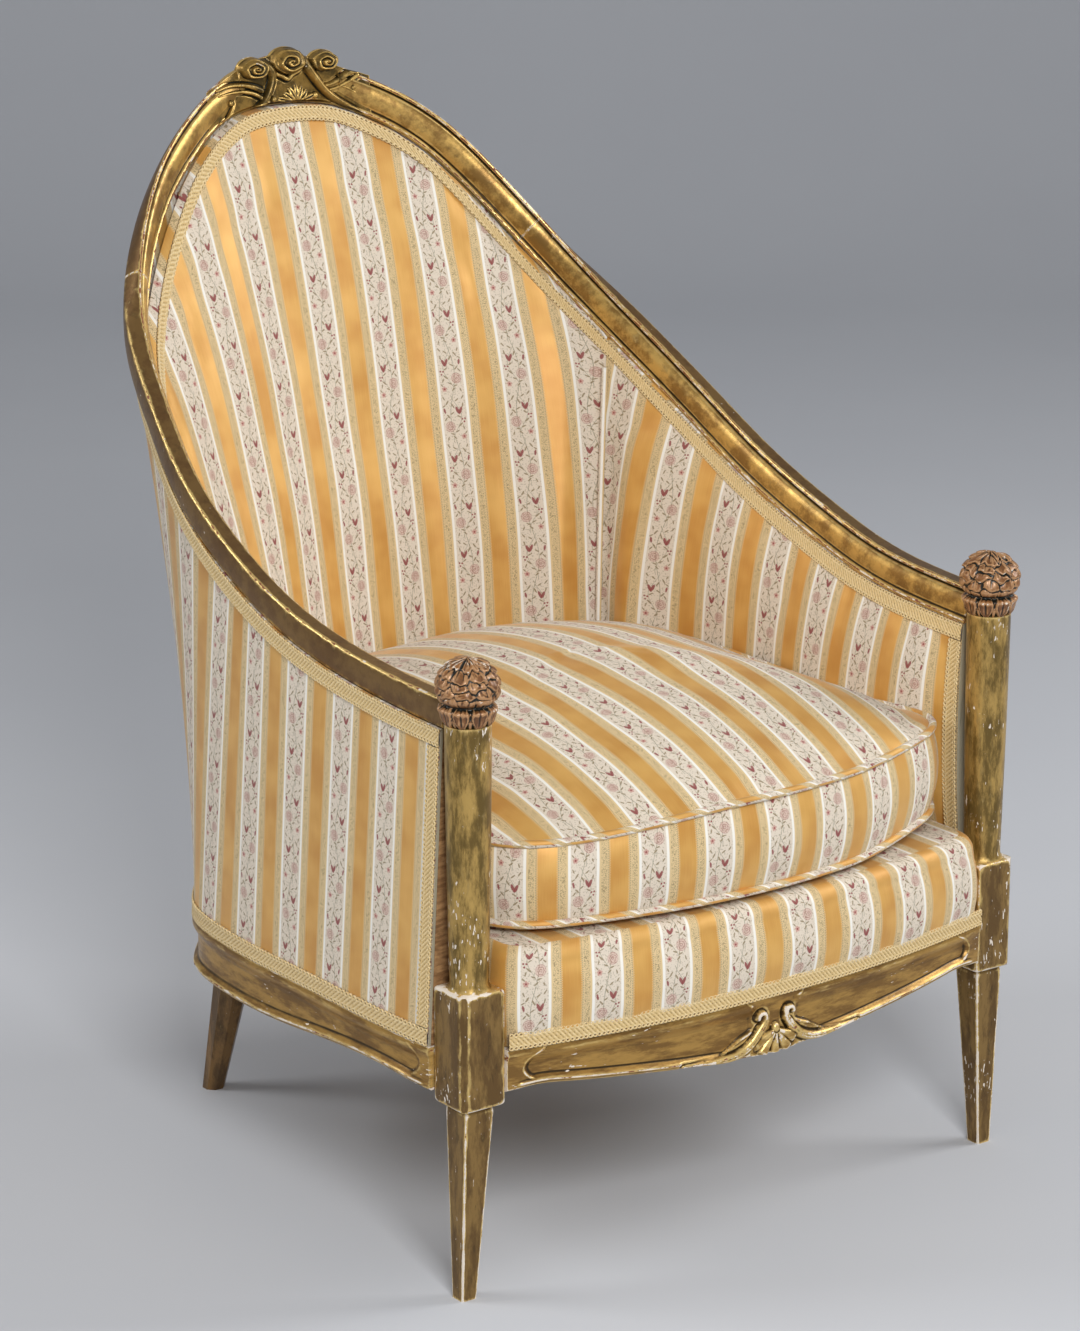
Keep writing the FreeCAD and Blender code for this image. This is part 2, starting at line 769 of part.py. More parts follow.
def seat_rail_ring(piece, bottom, sink):
    """Upright section of a side or back seat rail."""
    ring = [piece.level(depth, height) for depth, height in panelled(bottom, sink)]
    return ring + [piece.level(seat_rail_thickness, bottom), piece.level(seat_rail_thickness, seat_rail_top)]


def side_seat_rail():
    """Curved side rail from the post's block to the rear leg."""
    low = leg_place + run_share(contact_gap)

    def section(piece):
        """Section with the haunch beside the post's block."""
        share = (front_place - piece.place) / (front_place - low)
        rise = side_haunch_rise * table_value(side_edge_shares, share)
        return seat_rail_ring(piece, seat_rail_bottom + rise, panel_depth(share))

    return carried(rail_grid, section, low, front_place).cut(screw_hole(leg_screw_line()))


def back_seat_rail():
    """Curved rail across the back, between the two rear legs."""
    hole = screw_hole(leg_screw_line())
    solid = carried(rail_grid, lambda piece: seat_rail_ring(piece, seat_rail_bottom, 0), -leg_place, leg_place)
    return solid.cut(hole).cut(other_side(hole))


# Inner frame
def layer_section(low, high, top_low, top_high, foot):
    """Section of an inner layer that leans out under the rail, as a function of the slice."""
    def section(piece):
        """Section at one slice."""
        kink = piece.under_rail(top_high) - top_kink
        return [piece.seated(low, foot), piece.seated(high, foot), piece.wall(high, kink),
                piece.wall(top_high, piece.under_rail(top_high)), piece.wall(top_low, piece.under_rail(top_low)),
                piece.wall(low, kink)]
    return section


def frame_section(piece):
    """Section of a stile or upright, from the seat rail to the rail above."""
    kink = piece.under_rail(frame_top_inner) - top_kink
    return [piece.seated(frame_outer, contact_gap), piece.seated(frame_inner, contact_gap),
            piece.wall(frame_inner, kink), piece.wall(frame_top_inner, piece.under_rail(frame_top_inner)),
            piece.wall(frame_outer, piece.under_rail(frame_outer))]


def stay_section(piece):
    """Section of a stay rail, to which the bottoms of the inside covers are tacked."""
    low = stay_rail_rise
    high = stay_rail_rise + stay_rail_height
    return [piece.seated(frame_outer, low), piece.seated(frame_inner, low),
            piece.seated(frame_inner, high), piece.seated(frame_outer, high)]


wall_front = front_place - run_share(gimp_thickness)
stile_back = wall_front - run_share(stile_width)
upright_front = joint_place + run_share(upright_width / 2)
upright_back = joint_place - run_share(upright_width / 2)


def corner_block_points():
    """Plan of the right front corner block, notched round the post."""
    half = block_side / 2 + contact_gap
    front = front_inner_y + contact_gap
    side = slice_at(rail_grid, front_place).level(seat_rail_thickness + contact_gap, 0).x
    return [Vector(post_x - half, front, 0), Vector(post_x - half, post_y + half, 0), Vector(side, post_y + half, 0),
            Vector(side, post_y + half + corner_block_reach / 2, 0),
            Vector(post_x - half - corner_block_reach, front, 0)]


def block_screw_line():
    """Point under the head and direction of the screw through a front corner block."""
    points = corner_block_points()
    height = seat_rail_top - corner_block_drop - corner_block_height / 2
    post = Vector(post_x, post_y, height)
    corner = Vector(points[3].x, points[3].y, height)
    face = points[3] - points[4]
    direction = Vector(face.y, -face.x, 0).normalize()
    return post - direction * ((post - corner).dot(direction) + contact_gap), direction


def corner_block():
    """Glued and screwed block inside the right front corner."""
    bottom = seat_rail_top - corner_block_drop - corner_block_height
    points = [Vector(point.x, point.y, bottom) for point in corner_block_points()]
    return prism(points, Vector(0, 0, corner_block_height)).cut(screw_hole(block_screw_line()))


# Webbing and hessian
def seat_region(height, thickness):
    """Space inside which webbing and hessian lie on the seat rails."""
    inset = seat_rail_thickness - strap_seat
    half = block_side / 2 + contact_gap
    back = post_y + half + contact_gap
    front = front_inner_y - strap_seat
    points = [piece.level(inset, height) for piece in rail_grid]
    points = [point for point in points if point.y > back]
    points[0].y = back
    points[-1].y = back
    points += [Vector(post_x - half, back, height), Vector(post_x - half, front, height),
               Vector(half - post_x, front, height), Vector(half - post_x, back, height)]
    return prism(points, Vector(0, 0, thickness))


def strap_stops(crossings, over_first, end):
    """Places and levels along a strap that goes over and under the straps that it crosses."""
    lift = strap_thickness + contact_gap
    reach = strap_width / 2 + contact_gap
    stops = [(-end, 0)]
    for index, crossing in enumerate(crossings):
        level = lift if (index % 2 == 0) == over_first else 0
        stops += [(crossing - reach - strap_ramp, 0), (crossing - reach, level), (crossing + reach, level),
                  (crossing + reach + strap_ramp, 0)] if level else []
    return stops + [(end, 0)]


def seat_straps():
    """Interlaced straps of the seat, cut where they meet the rails."""
    base = seat_rail_top + contact_gap
    middle = between(front_inner_y, seat_back_y - seat_rail_thickness, 0.5)
    xs = [strap_pitch_x * (index - (strap_columns - 1) / 2) for index in range(strap_columns)]
    ys = [middle + strap_pitch_y * (index - (strap_rows - 1) / 2) for index in range(strap_rows)]
    region = seat_region(seat_rail_top, weave_top - seat_rail_top)
    straps = []
    for index, x in enumerate(xs):
        stops = strap_stops(ys, index % 2 == 0, half_depth)
        lower = [Vector(x - strap_width / 2, along, base + level) for along, level in stops]
        upper = [point + Vector(0, 0, strap_thickness) for point in reversed(lower)]
        straps.append(prism(lower + upper, Vector(strap_width, 0, 0)).common(region))
    for index, y in enumerate(ys):
        stops = strap_stops(xs, index % 2 == 1, seat_half_width)
        lower = [Vector(along, y - strap_width / 2, base + level) for along, level in stops]
        upper = [point + Vector(0, 0, strap_thickness) for point in reversed(lower)]
        straps.append(prism(lower + upper, Vector(0, strap_width, 0)).common(region))
    return Part.Compound([solid for strap in straps for solid in strap.Solids])


def back_webbing():
    """Upright straps behind the stuffing of the back."""
    section = layer_section(lining_outer, lining_outer + strap_thickness, lining_top_outer,
                            lining_top_outer + strap_thickness, pad_rise)
    half = run_share(back_strap_width / 2)
    reach = upright_back - half - run_share(back_strap_width / 2)
    return Part.Compound([carried(wall_grid, section, middle - half, middle + half, thin=True)
                          for middle in places(-reach, reach, back_straps)])


def arm_hessian():
    """Hessian stretched inside the right arm."""
    section = layer_section(lining_outer, lining_outer + hessian_thickness, lining_top_outer,
                            lining_top_outer + hessian_thickness, pad_rise)
    return carried(wall_grid, section, upright_back, wall_front, thin=True)


# Stuffed parts
def fullness(place):
    """Share of a pad's full thickness: less beside the seams and at the front of the arms."""
    distance = abs(place)
    from_seam = smooth((abs(distance - seam_place) - run_share(2 * cord_radius)) / run_share(pad_edge_run))
    from_front = smooth((front_place - distance) / run_share(pad_edge_run))
    return between(pad_edge_share, 1.0, from_seam * from_front)


def pad_face(piece, lift):
    """Points down a pad's face, from the rail to its foot, lifted off it by a distance."""
    depth = pad_thickness * fullness(piece.place) + lift
    front = rail_top_width + piece.face_slope - contact_gap
    top = piece.under_rail(front) - contact_gap
    foot = (pad_rise - piece.inward.z * pad_back) / piece.up.z
    arc = Part.Arc(Vector(front + lift, top, 0), Vector(pad_back + depth, between(foot, top, 0.5), 0),
                   Vector(pad_back + pad_thickness * fullness(piece.place) * pad_foot_share + lift, foot, 0))
    return [(point.x, point.y) for point in arc.toShape().discretize(pad_steps + 1)]


def pad_section(piece):
    """Section of a stuffed pad at one slice."""
    kink = piece.under_rail(pad_top_back) - top_kink
    ring = [piece.seated(pad_back, pad_rise), piece.wall(pad_back, kink),
            piece.wall(pad_top_back, piece.under_rail(pad_top_back))]
    return ring + [piece.wall(inward, rise) for inward, rise in pad_face(piece, 0)]


def front_arc(half_width, front_y, corner_y, reach, height):
    """Corner points and middle of the bowed front, before its corners are rounded."""
    def bow(x):
        """Front line at a distance from the middle."""
        return front_y + (corner_y - front_y) * (x / half_width) ** 2

    return [Vector(x, bow(x), height) for x in places(reach - half_width, half_width - reach, front_steps + 1)]


def seat_outline(half_width, front_y, corner_y, side_y, back_y, reach, height):
    """Level outline of the deck or cushion: bowed front, straight sides and a round back."""
    front = front_arc(half_width, front_y, corner_y, reach, height)
    start = front[-1]
    end = Vector(half_width, corner_y + reach, height)
    corner = Vector(half_width, corner_y, height)
    rounding = []
    for share in places(0, 1, corner_steps + 1)[1:]:
        rounding.append(between(between(start, corner, share), between(corner, end, share), share))
    side = [Vector(half_width, between(end.y, side_y, share), height) for share in places(0, 1, side_steps + 1)[1:-1]]
    right = rounding + side
    back = []
    for turn in places(0, math.pi, back_steps + 1):
        x = half_width * math.copysign(abs(math.cos(turn)) ** seat_back_power_share, math.cos(turn))
        y = side_y + (back_y - side_y) * math.sin(turn) ** seat_back_power_share
        back.append(Vector(x, y, height))
    left = [Vector(-point.x, point.y, height) for point in reversed(right)]
    return front + right + back + left


def deck_outline(inset, height):
    """Outline of the stuffed seat platform, its front drawn in by an inset."""
    return seat_outline(deck_half_width, front_face_y(0) + inset, front_face_y(deck_half_width) + inset,
                        seat_front_y + seat_side_run, seat_back_y - deck_back_inset, deck_corner_reach, height)


def seat_deck():
    """Stuffed seat platform with its upright front border, which stands on the front rail."""
    roll = deck_height - deck_edge_roll
    belly = between(deck_bottom, roll, deck_belly_share)
    body = loft([deck_outline(0, deck_bottom), deck_outline(-deck_bulge, belly), deck_outline(0, roll),
                 deck_outline(deck_edge_roll * edge_round_share, between(roll, deck_height, 1 - edge_round_share)),
                 deck_outline(deck_edge_roll, deck_height)])
    back = front_inner_y - strap_seat - contact_gap
    low = seat_rail_top + contact_gap
    rim = [point for point in deck_outline(0, low) if point.y < back]
    rim += [Vector(deck_half_width, back, low), Vector(-deck_half_width, back, low)]
    rim.sort(key=lambda point: math.atan2(point.y - back - contact_gap, point.x))
    return body.fuse(prism(rim, Vector(0, 0, deck_bottom - low)))


def cushion_outline(inset, height):
    """Outline of the loose cushion, drawn in all round by an inset."""
    drawn = 1 - inset / cushion_half_width
    front = cushion_front_setback - half_depth + inset
    return seat_outline(cushion_half_width - inset, front,
                        front + (cushion_corner_setback - cushion_front_setback) * drawn,
                        seat_front_y + seat_side_run - inset * cushion_side_draw_share, seat_back_y - cushion_back_inset - inset,
                        cushion_corner_reach * min(1.0, drawn), height)


def seat_cushion():
    """Boxed cushion: a low crown below, a full band and a high crown above."""
    half = cushion_half_width
    rings = [cushion_outline(half * inset, between(cushion_bottom, bottom_welt, rise)) for inset, rise in underside_shares]
    rings += [cushion_outline(-cushion_band_bulge * out, between(bottom_welt, top_welt, rise)) for rise, out in band_shares]
    rings += [cushion_outline(half * inset, between(top_welt, cushion_top, rise)) for inset, rise in crown_shares]
    return loft(rings, -1)


def cord_ring_at(point, run):
    """Ring of points round a cord at a point of its path."""
    first = Vector(0, 0, 1)
    second = run.cross(first).normalize()
    return [point + (first * math.cos(turn) + second * math.sin(turn)) * cord_radius
            for turn in (2 * math.pi * side / cord_sides for side in range(cord_sides))]


def cord_ring(height):
    """Piping round the cushion at a welt, as one closed cord."""
    outline = cushion_outline(-cord_radius - contact_gap, height)
    rings = []
    for index, point in enumerate(outline):
        run = outline[(index + 1) % len(outline)] - outline[index - 1]
        rings.append(cord_ring_at(point, run))
    return solid_of(skin(rings + rings[:1], 1))


def seam_cord():
    """Piping down the seam between the back and the right arm."""
    piece = slice_at(wall_grid, seam_place)
    lift = cord_radius + 2 * lining_gap
    face = [piece.wall(inward, rise) for inward, rise in pad_face(piece, lift)]
    start = gimp_width + 2 * contact_gap + cord_radius
    run = sum((b - a).Length for a, b in zip(face, face[1:])) - start
    path = [down_face(piece, lift, start, run * share) for share in places(0, 1, pad_steps + 1)]
    side = piece.inward.cross(piece.up).normalize()
    rings = []
    for index, point in enumerate(path):
        run = path[min(index + 1, len(path) - 1)] - path[max(index - 1, 0)]
        out = side.cross(run).normalize()
        rings.append([point + (side * math.cos(turn) + out * math.sin(turn)) * cord_radius
                      for turn in (2 * math.pi * step / cord_sides for step in range(cord_sides))])
    return loft(rings)


# Covers and gimp
def cover_section(piece):
    """Section of an outside cover."""
    inner = contact_gap + cover_thickness
    return [piece.seated(contact_gap, contact_gap), piece.seated(inner, contact_gap),
            piece.wall(inner, piece.under_rail(inner)), piece.wall(contact_gap, piece.under_rail(contact_gap))]


def under_rail_gimp(piece):
    """Section of the braid on the outside cover, under the rail."""
    outer = piece.under_rail(-gimp_thickness)
    inner = piece.under_rail(0)
    return [piece.wall(-gimp_thickness, outer - gimp_width), piece.wall(0, inner - gimp_width),
            piece.wall(0, inner), piece.wall(-gimp_thickness, outer)]


def over_seat_gimp(piece):
    """Section of the braid on the outside cover, above the seat rail."""
    low = contact_gap
    high = contact_gap + gimp_width
    return [piece.seated(-gimp_thickness, low), piece.seated(0, low),
            piece.seated(0, high), piece.seated(-gimp_thickness, high)]


def post_gimp(piece):
    """Section of the upright braid on the outside cover, beside the column."""
    low = 2 * contact_gap + gimp_width
    high = piece.under_rail(-gimp_thickness) - gimp_width - contact_gap
    return [piece.seated(-gimp_thickness, low), piece.seated(0, low), piece.wall(0, high),
            piece.wall(-gimp_thickness, high)]


def down_face(piece, lift, start, length):
    """Point of a pad's face at a length down from a start, both measured along it."""
    face = [Vector(inward, rise, 0) for inward, rise in pad_face(piece, lift)]
    left = start + length
    for a, b in zip(face, face[1:]):
        run = (b - a).Length
        if left <= run:
            point = between(a, b, left / run)
            return piece.wall(point.x, point.y)
        left -= run
    return piece.wall(face[-1].x, face[-1].y)


def inner_rail_gimp(piece):
    """Section of the braid along the top of the inside covers."""
    low = contact_gap
    high = contact_gap + gimp_thickness
    return [down_face(piece, low, contact_gap, 0), down_face(piece, high, contact_gap, 0),
            down_face(piece, high, contact_gap, gimp_width), down_face(piece, low, contact_gap, gimp_width)]


def inner_post_gimp(piece):
    """Section of the upright braid at the front of an inside arm."""
    low = [piece.wall(inward, rise) for inward, rise in pad_face(piece, contact_gap)]
    high = [piece.wall(inward, rise) for inward, rise in pad_face(piece, contact_gap + gimp_thickness)]
    low[0] = down_face(piece, contact_gap, 2 * contact_gap, gimp_width)
    high[0] = down_face(piece, contact_gap + gimp_thickness, 2 * contact_gap, gimp_width)
    return low + high[::-1]


def front_gimp():
    """Braid along the bottom of the front border."""
    low = seat_rail_top + contact_gap
    high = low + gimp_width
    belly = between(deck_bottom, deck_height - deck_edge_roll, deck_belly_share)
    lean = deck_bulge * (high - deck_bottom) / (belly - deck_bottom)
    rings = []
    for x in places(contact_gap - front_end_x, front_end_x - contact_gap, front_steps + 1):
        face = front_face_y(x) - contact_gap
        rings.append([Vector(x, face, low), Vector(x, face - lean, high),
                      Vector(x, face - lean - gimp_thickness, high), Vector(x, face - gimp_thickness, low)])
    return loft(rings)


def main():
    """Build every piece and write its file."""
    os.makedirs("parts", exist_ok=True)
    gap = run_share(contact_gap)
    write_pair("front_post", front_post())
    write_pair("finial", finial())
    write_pair("rear_leg", rear_leg())
    write_pair("arm_rail", arm_rail())
    write("crest_rail", crest_rail())
    write("front_seat_rail", front_seat_rail())
    write_pair("side_seat_rail", side_seat_rail())
    write("back_seat_rail", back_seat_rail())
    write_pair("arm_stile", carried(wall_grid, frame_section, stile_back, wall_front))
    write_pair("back_upright", carried(wall_grid, frame_section, upright_back, upright_front))
    write_pair("arm_stay_rail", carried(wall_grid, stay_section, upright_front + gap, stile_back - gap))
    write("back_stay_rail", carried(wall_grid, stay_section, gap - upright_back, upright_back - gap))
    write_pair("corner_block", corner_block())
    dowel = rail_dowel(0)
    write("rail_dowels", Part.Compound([dowel, other_side(dowel)]))
    screws = [screw_at(block_screw_line()), screw_at(leg_screw_line())]
    write("frame_screws", Part.Compound(screws + [other_side(screw) for screw in screws]))
    write("seat_webbing", seat_straps())
    write("seat_hessian", seat_region(weave_top, hessian_thickness))
    write("back_webbing", back_webbing())
    write_pair("arm_hessian", arm_hessian())
    write("inside_back", carried(wall_grid, pad_section, gap - seam_place, seam_place - gap))
    write_pair("inside_arm", carried(wall_grid, pad_section, seam_place + gap, wall_front))
    write_pair("seam_cord", seam_cord())
    write_pair("outside_arm", carried(wall_grid, cover_section, joint_place + gap, wall_front, -1, True))
    write("outside_back", carried(wall_grid, cover_section, gap - joint_place, joint_place - gap, -1, True))
    write("seat_deck", seat_deck())
    write("seat_cushion", seat_cushion())
    write("cushion_cord_top", cord_ring(top_welt))
    write("cushion_cord_bottom", cord_ring(bottom_welt))
    edge = wall_front - run_share(gimp_width)
    write("gimp_under_rail", carried(wall_grid, under_rail_gimp, -wall_front, wall_front))
    write("gimp_over_seat_rail", carried(wall_grid, over_seat_gimp, -wall_front, wall_front))
    write("gimp_inside_rail", carried(wall_grid, inner_rail_gimp, -wall_front, wall_front))
    write_pair("gimp_post_outer", carried(wall_grid, post_gimp, edge, wall_front))
    write_pair("gimp_post_inner", carried(wall_grid, inner_post_gimp, edge, wall_front))
    write("gimp_front_border", front_gimp())


main()
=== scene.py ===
"""Looks of a tub chair: a worn giltwood frame, striped silk covers, braid and a loose cushion.

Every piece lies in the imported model's frame: metres, +Z up, the chair's front towards -Y.
Shapes are functions of two parameters, worked out as whole grids of points.
"""
from __future__ import annotations

import json
import logging
import math
from dataclasses import dataclass, field
from enum import Enum
from typing import Callable, Sequence

import bmesh
import bpy
import numpy as np
from numpy.typing import NDArray
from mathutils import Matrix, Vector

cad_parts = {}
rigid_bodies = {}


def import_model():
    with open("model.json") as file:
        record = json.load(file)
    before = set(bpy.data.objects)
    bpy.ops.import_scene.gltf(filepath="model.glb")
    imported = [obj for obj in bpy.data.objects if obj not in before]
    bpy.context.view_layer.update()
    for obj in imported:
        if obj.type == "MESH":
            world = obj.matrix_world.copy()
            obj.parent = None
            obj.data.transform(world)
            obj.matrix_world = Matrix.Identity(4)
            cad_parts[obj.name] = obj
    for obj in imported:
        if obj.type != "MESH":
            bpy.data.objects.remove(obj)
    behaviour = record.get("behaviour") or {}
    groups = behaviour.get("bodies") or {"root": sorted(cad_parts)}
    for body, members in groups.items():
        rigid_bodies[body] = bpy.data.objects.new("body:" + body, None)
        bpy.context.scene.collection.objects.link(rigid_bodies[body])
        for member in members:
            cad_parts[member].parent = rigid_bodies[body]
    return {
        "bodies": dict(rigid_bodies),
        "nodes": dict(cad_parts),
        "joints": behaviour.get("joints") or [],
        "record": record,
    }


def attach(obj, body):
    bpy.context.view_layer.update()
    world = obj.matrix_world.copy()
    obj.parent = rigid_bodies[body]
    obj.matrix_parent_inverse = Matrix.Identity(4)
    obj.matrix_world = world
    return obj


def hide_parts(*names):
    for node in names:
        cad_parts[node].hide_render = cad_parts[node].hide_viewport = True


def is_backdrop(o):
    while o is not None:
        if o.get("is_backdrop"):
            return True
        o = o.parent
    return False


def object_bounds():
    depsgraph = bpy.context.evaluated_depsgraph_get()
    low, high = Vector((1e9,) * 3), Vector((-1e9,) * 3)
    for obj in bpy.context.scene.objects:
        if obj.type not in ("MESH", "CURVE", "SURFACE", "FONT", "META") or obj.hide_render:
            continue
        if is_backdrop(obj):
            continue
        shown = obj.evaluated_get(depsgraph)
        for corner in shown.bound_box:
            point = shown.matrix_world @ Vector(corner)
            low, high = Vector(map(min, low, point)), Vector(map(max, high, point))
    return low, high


Array = NDArray[np.float64]
Colour = tuple[float, float, float, float]
Material = bpy.types.Material
Socket = bpy.types.NodeSocket
MM = 0.001
SILK_REPEAT = 0.070
SIDES = ((1, "right"), (-1, "left"))
log = logging.getLogger("tub_chair")


class Body(str, Enum):
    """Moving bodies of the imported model."""

    CHAIR = "chair"
    CUSHION = "cushion"


class Slot(str, Enum):
    """Material slots of the record that new pieces take."""

    GILTWOOD = "giltwood"
    FABRIC = "striped_fabric"
    PIPING = "piping"
    GIMP = "gimp"


# Numbers and lines


def ease(share: Array | float) -> Array:
    """Share clipped to 0..1 and eased at both ends: s * s * (3 - 2 * s)."""
    clipped = np.clip(share, 0.0, 1.0)
    return clipped * clipped * (3.0 - 2.0 * clipped)


def between(low: Array | float, high: Array | float, share: Array | float) -> Array:
    """Value at a share of the way from low to high."""
    return low + (high - low) * share


def unit(vectors: Array) -> Array:
    """Vectors divided by their lengths."""
    return vectors / np.linalg.norm(vectors, axis=-1, keepdims=True)


def bell(distance: Array, width: float) -> Array:
    """Bell curve: exp(-(distance / width) squared)."""
    return np.exp(-((distance / width) ** 2))


def ripples(first: Array, second: Array, scale: float, seed: int, count: int = 14) -> Array:
    """Soft unevenness between about -1 and 1: a mean of sines with seeded directions and phases.

    Args:
        first: First coordinate, in metres.
        second: Second coordinate, in metres.
        scale: Typical length of a ripple, in metres.
        seed: Seed of the directions and phases.
        count: How many sines are added.

    Returns:
        Unevenness at every point.
    """
    draw = np.random.default_rng(seed)
    turns = draw.uniform(0, 2 * math.pi, count)
    phases = draw.uniform(0, 2 * math.pi, count)
    lengths = scale * draw.uniform(0.6, 1.8, count)
    runs = first[..., None] * np.cos(turns) + second[..., None] * np.sin(turns)
    return np.sin(2 * math.pi * runs / lengths + phases).sum(-1) / math.sqrt(count)


def travelled(points: Array) -> Array:
    """Distance gone along a line at each of its points: the lengths of its runs, added up."""
    return np.concatenate([[0], np.cumsum(np.linalg.norm(np.diff(points, axis=0), axis=1))])


def near_line(first: Array, second: Array, line: Sequence[tuple[float, float]]) -> tuple[Array, Array]:
    """Distance to a line of straight runs, and the share of the line at its nearest point.

    Args:
        first: First coordinate of every point.
        second: Second coordinate of every point.
        line: Corner points of the line.

    Returns:
        Distances and shares, each with one value for every point.
    """
    corners = np.array(line)
    start, run = corners[:-1], np.diff(corners, axis=0)
    length = np.linalg.norm(run, axis=1)
    gone = travelled(corners)
    offset = np.stack([first, second], -1)[..., None, :] - start
    along = np.clip((offset * run).sum(-1) / length**2, 0, 1)
    apart = np.linalg.norm(offset - along[..., None] * run, axis=-1)
    share = (gone[:-1] + along * length) / gone[-1]
    nearest = apart.argmin(-1)[..., None]
    return tuple(np.take_along_axis(values, nearest, -1)[..., 0] for values in (apart, share))


def curved(line: Sequence[tuple[float, float]], steps: int = 8) -> list[tuple[float, float]]:
    """Smooth line through points: a cubic spline, cut into short straight runs."""
    points = np.array(line, float)
    stops = travelled(points)
    fine = Spline(points, stops).at(np.linspace(0, stops[-1], steps * (len(line) - 1) + 1))[0]
    return [(float(x), float(y)) for x, y in fine]


class Spline:
    """Cubic line through points, with its bend unbroken at each of them."""

    def __init__(self, points: Array, stops: Array) -> None:
        """Work out the tangents from the rule that the bend is the same on both sides of a point.

        Args:
            points: Points that the line goes through.
            stops: Parameter of each point.
        """
        self.points = points
        self.stops = stops
        gaps = np.diff(stops)
        slopes = np.diff(points, axis=0) / gaps[:, None]
        system = np.eye(len(points))
        right = np.zeros_like(points, dtype=float)
        inner = np.arange(1, len(points) - 1)
        system[inner, inner - 1] = gaps[1:]
        system[inner, inner] = 2 * (gaps[1:] + gaps[:-1])
        system[inner, inner + 1] = gaps[:-1]
        right[1:-1] = 3 * (gaps[1:, None] * slopes[:-1] + gaps[:-1, None] * slopes[1:])
        right[0] = self._end_slope(points[:4], stops[:4])
        right[-1] = self._end_slope(points[-4:][::-1], stops[-4:][::-1])
        self.tangents = np.linalg.solve(system, right)

    @staticmethod
    def _end_slope(points: Array, stops: Array) -> Array:
        """Slope at the first point of the polynomial through the points."""
        powers = np.vander(stops - stops[0], increasing=True)
        return np.linalg.solve(powers, points)[1]

    def at(self, stops: Array) -> tuple[Array, Array]:
        """Points and tangents at parameters, from the cubic between the two points beside each.

        Args:
            stops: Parameters to look up.

        Returns:
            Points and tangents.
        """
        index = np.clip(np.searchsorted(self.stops, stops, side="right") - 1, 0, len(self.stops) - 2)
        gap = (self.stops[index + 1] - self.stops[index])[..., None]
        share = (stops - self.stops[index])[..., None] / gap
        low, high = self.points[index], self.points[index + 1]
        leave, arrive = self.tangents[index] * gap, self.tangents[index + 1] * gap
        point = (low * (1 + 2 * share) * (1 - share) ** 2 + leave * share * (1 - share) ** 2
                 + high * share**2 * (3 - 2 * share) - arrive * share**2 * (1 - share))
        slope = (6 * (high - low) * share * (1 - share) + leave * (1 - share) * (1 - 3 * share)
                 + arrive * share * (3 * share - 2))
        return point, slope / gap


# Meshes


@dataclass
class Patch:
    """A grid of points that becomes quads, with its cloth coordinates and its other values."""

    points: Array
    cloth: Array | None = None
    values: dict[str, Array] = field(default_factory=dict)


def cap(ring: Array) -> Patch:
    """Fan of triangles from a ring of points to its middle."""
    middle = np.broadcast_to(ring.mean(0), ring.shape)
    return Patch(np.stack([ring, middle]))


def closed_ring(grid: Array) -> Array:
    """Grid with its first column repeated after its last, so that its sections close."""
    return np.concatenate([grid, grid[:, :1]], axis=1)


def grid_faces(rows: int, columns: int) -> NDArray[np.int64]:
    """Four corners of every quad of a grid whose points are numbered row by row."""
    index = np.arange(rows * columns).reshape(rows, columns)
    return np.stack([index[:-1, :-1], index[1:, :-1], index[1:, 1:], index[:-1, 1:]], -1).reshape(-1, 4)


def add_values(mesh: bpy.types.Mesh, key: str, values: Array) -> None:
    """Store one number for every point of a mesh."""
    mesh.attributes.new(key, "FLOAT", "POINT").data.foreach_set("value", values.astype(np.float32))


def make_piece(name: str, patches: Sequence[Patch], finish: Material, slot: Slot,
               body: Body = Body.CHAIR, replaces: Sequence[str] = (), crease: float | None = 40.0,
               worn: float = 0.0) -> bpy.types.Object:
    """Weld patches into one closed mesh and put it on its body.

    Args:
        name: Name of the piece.
        patches: Grids that share their borders.
        finish: Material of the piece.
        slot: Material slot of the record; not used.
        body: Body that the piece moves with.
        replaces: Nodes that the piece stands for.
        crease: Angle in degrees past which an edge shades sharp, or none.
        worn: Radius in metres of an arris that is fully worn, or 0 for no wear.

    Returns:
        The new object.
    """
    mesh = bpy.data.meshes.new(name)
    counts = [patch.points.shape[0] * patch.points.shape[1] for patch in patches]
    starts = np.concatenate([[0], np.cumsum(counts)])
    faces = np.concatenate([grid_faces(*patch.points.shape[:2]) + start
                            for patch, start in zip(patches, starts)])
    points = np.concatenate([patch.points.reshape(-1, 3) for patch in patches])
    mesh.vertices.add(len(points))
    mesh.vertices.foreach_set("co", points.astype(np.float32).ravel())
    mesh.loops.add(faces.size)
    mesh.loops.foreach_set("vertex_index", faces.astype(np.int32).ravel())
    mesh.polygons.add(len(faces))
    mesh.polygons.foreach_set("loop_start", np.arange(0, faces.size, 4, dtype=np.int32))
    mesh.update(calc_edges=True)
    cloth = np.concatenate([(np.zeros(patch.points.shape[:2] + (2,)) if patch.cloth is None else patch.cloth)
                            .reshape(-1, 2) for patch in patches])
    layer = mesh.uv_layers.new(name="cloth")
    layer.data.foreach_set("uv", cloth[faces.ravel()].astype(np.float32).ravel())
    for key in sorted({key for patch in patches for key in patch.values}):
        values = [patch.values.get(key, np.zeros(patch.points.shape[:2])).ravel() for patch in patches]
        add_values(mesh, key, np.concatenate(values))
    weld(mesh)
    mesh.polygons.foreach_set("use_smooth", np.ones(len(mesh.polygons), bool))
    if crease is not None:
        mesh.set_sharp_from_angle(angle=math.radians(crease))
    if worn:
        add_wear(mesh, worn)
    mesh.materials.append(finish)
    piece = bpy.data.objects.new(f"{name}_look", mesh)
    bpy.context.scene.collection.objects.link(piece)
    place_piece(piece, slot, body, replaces)
    return piece


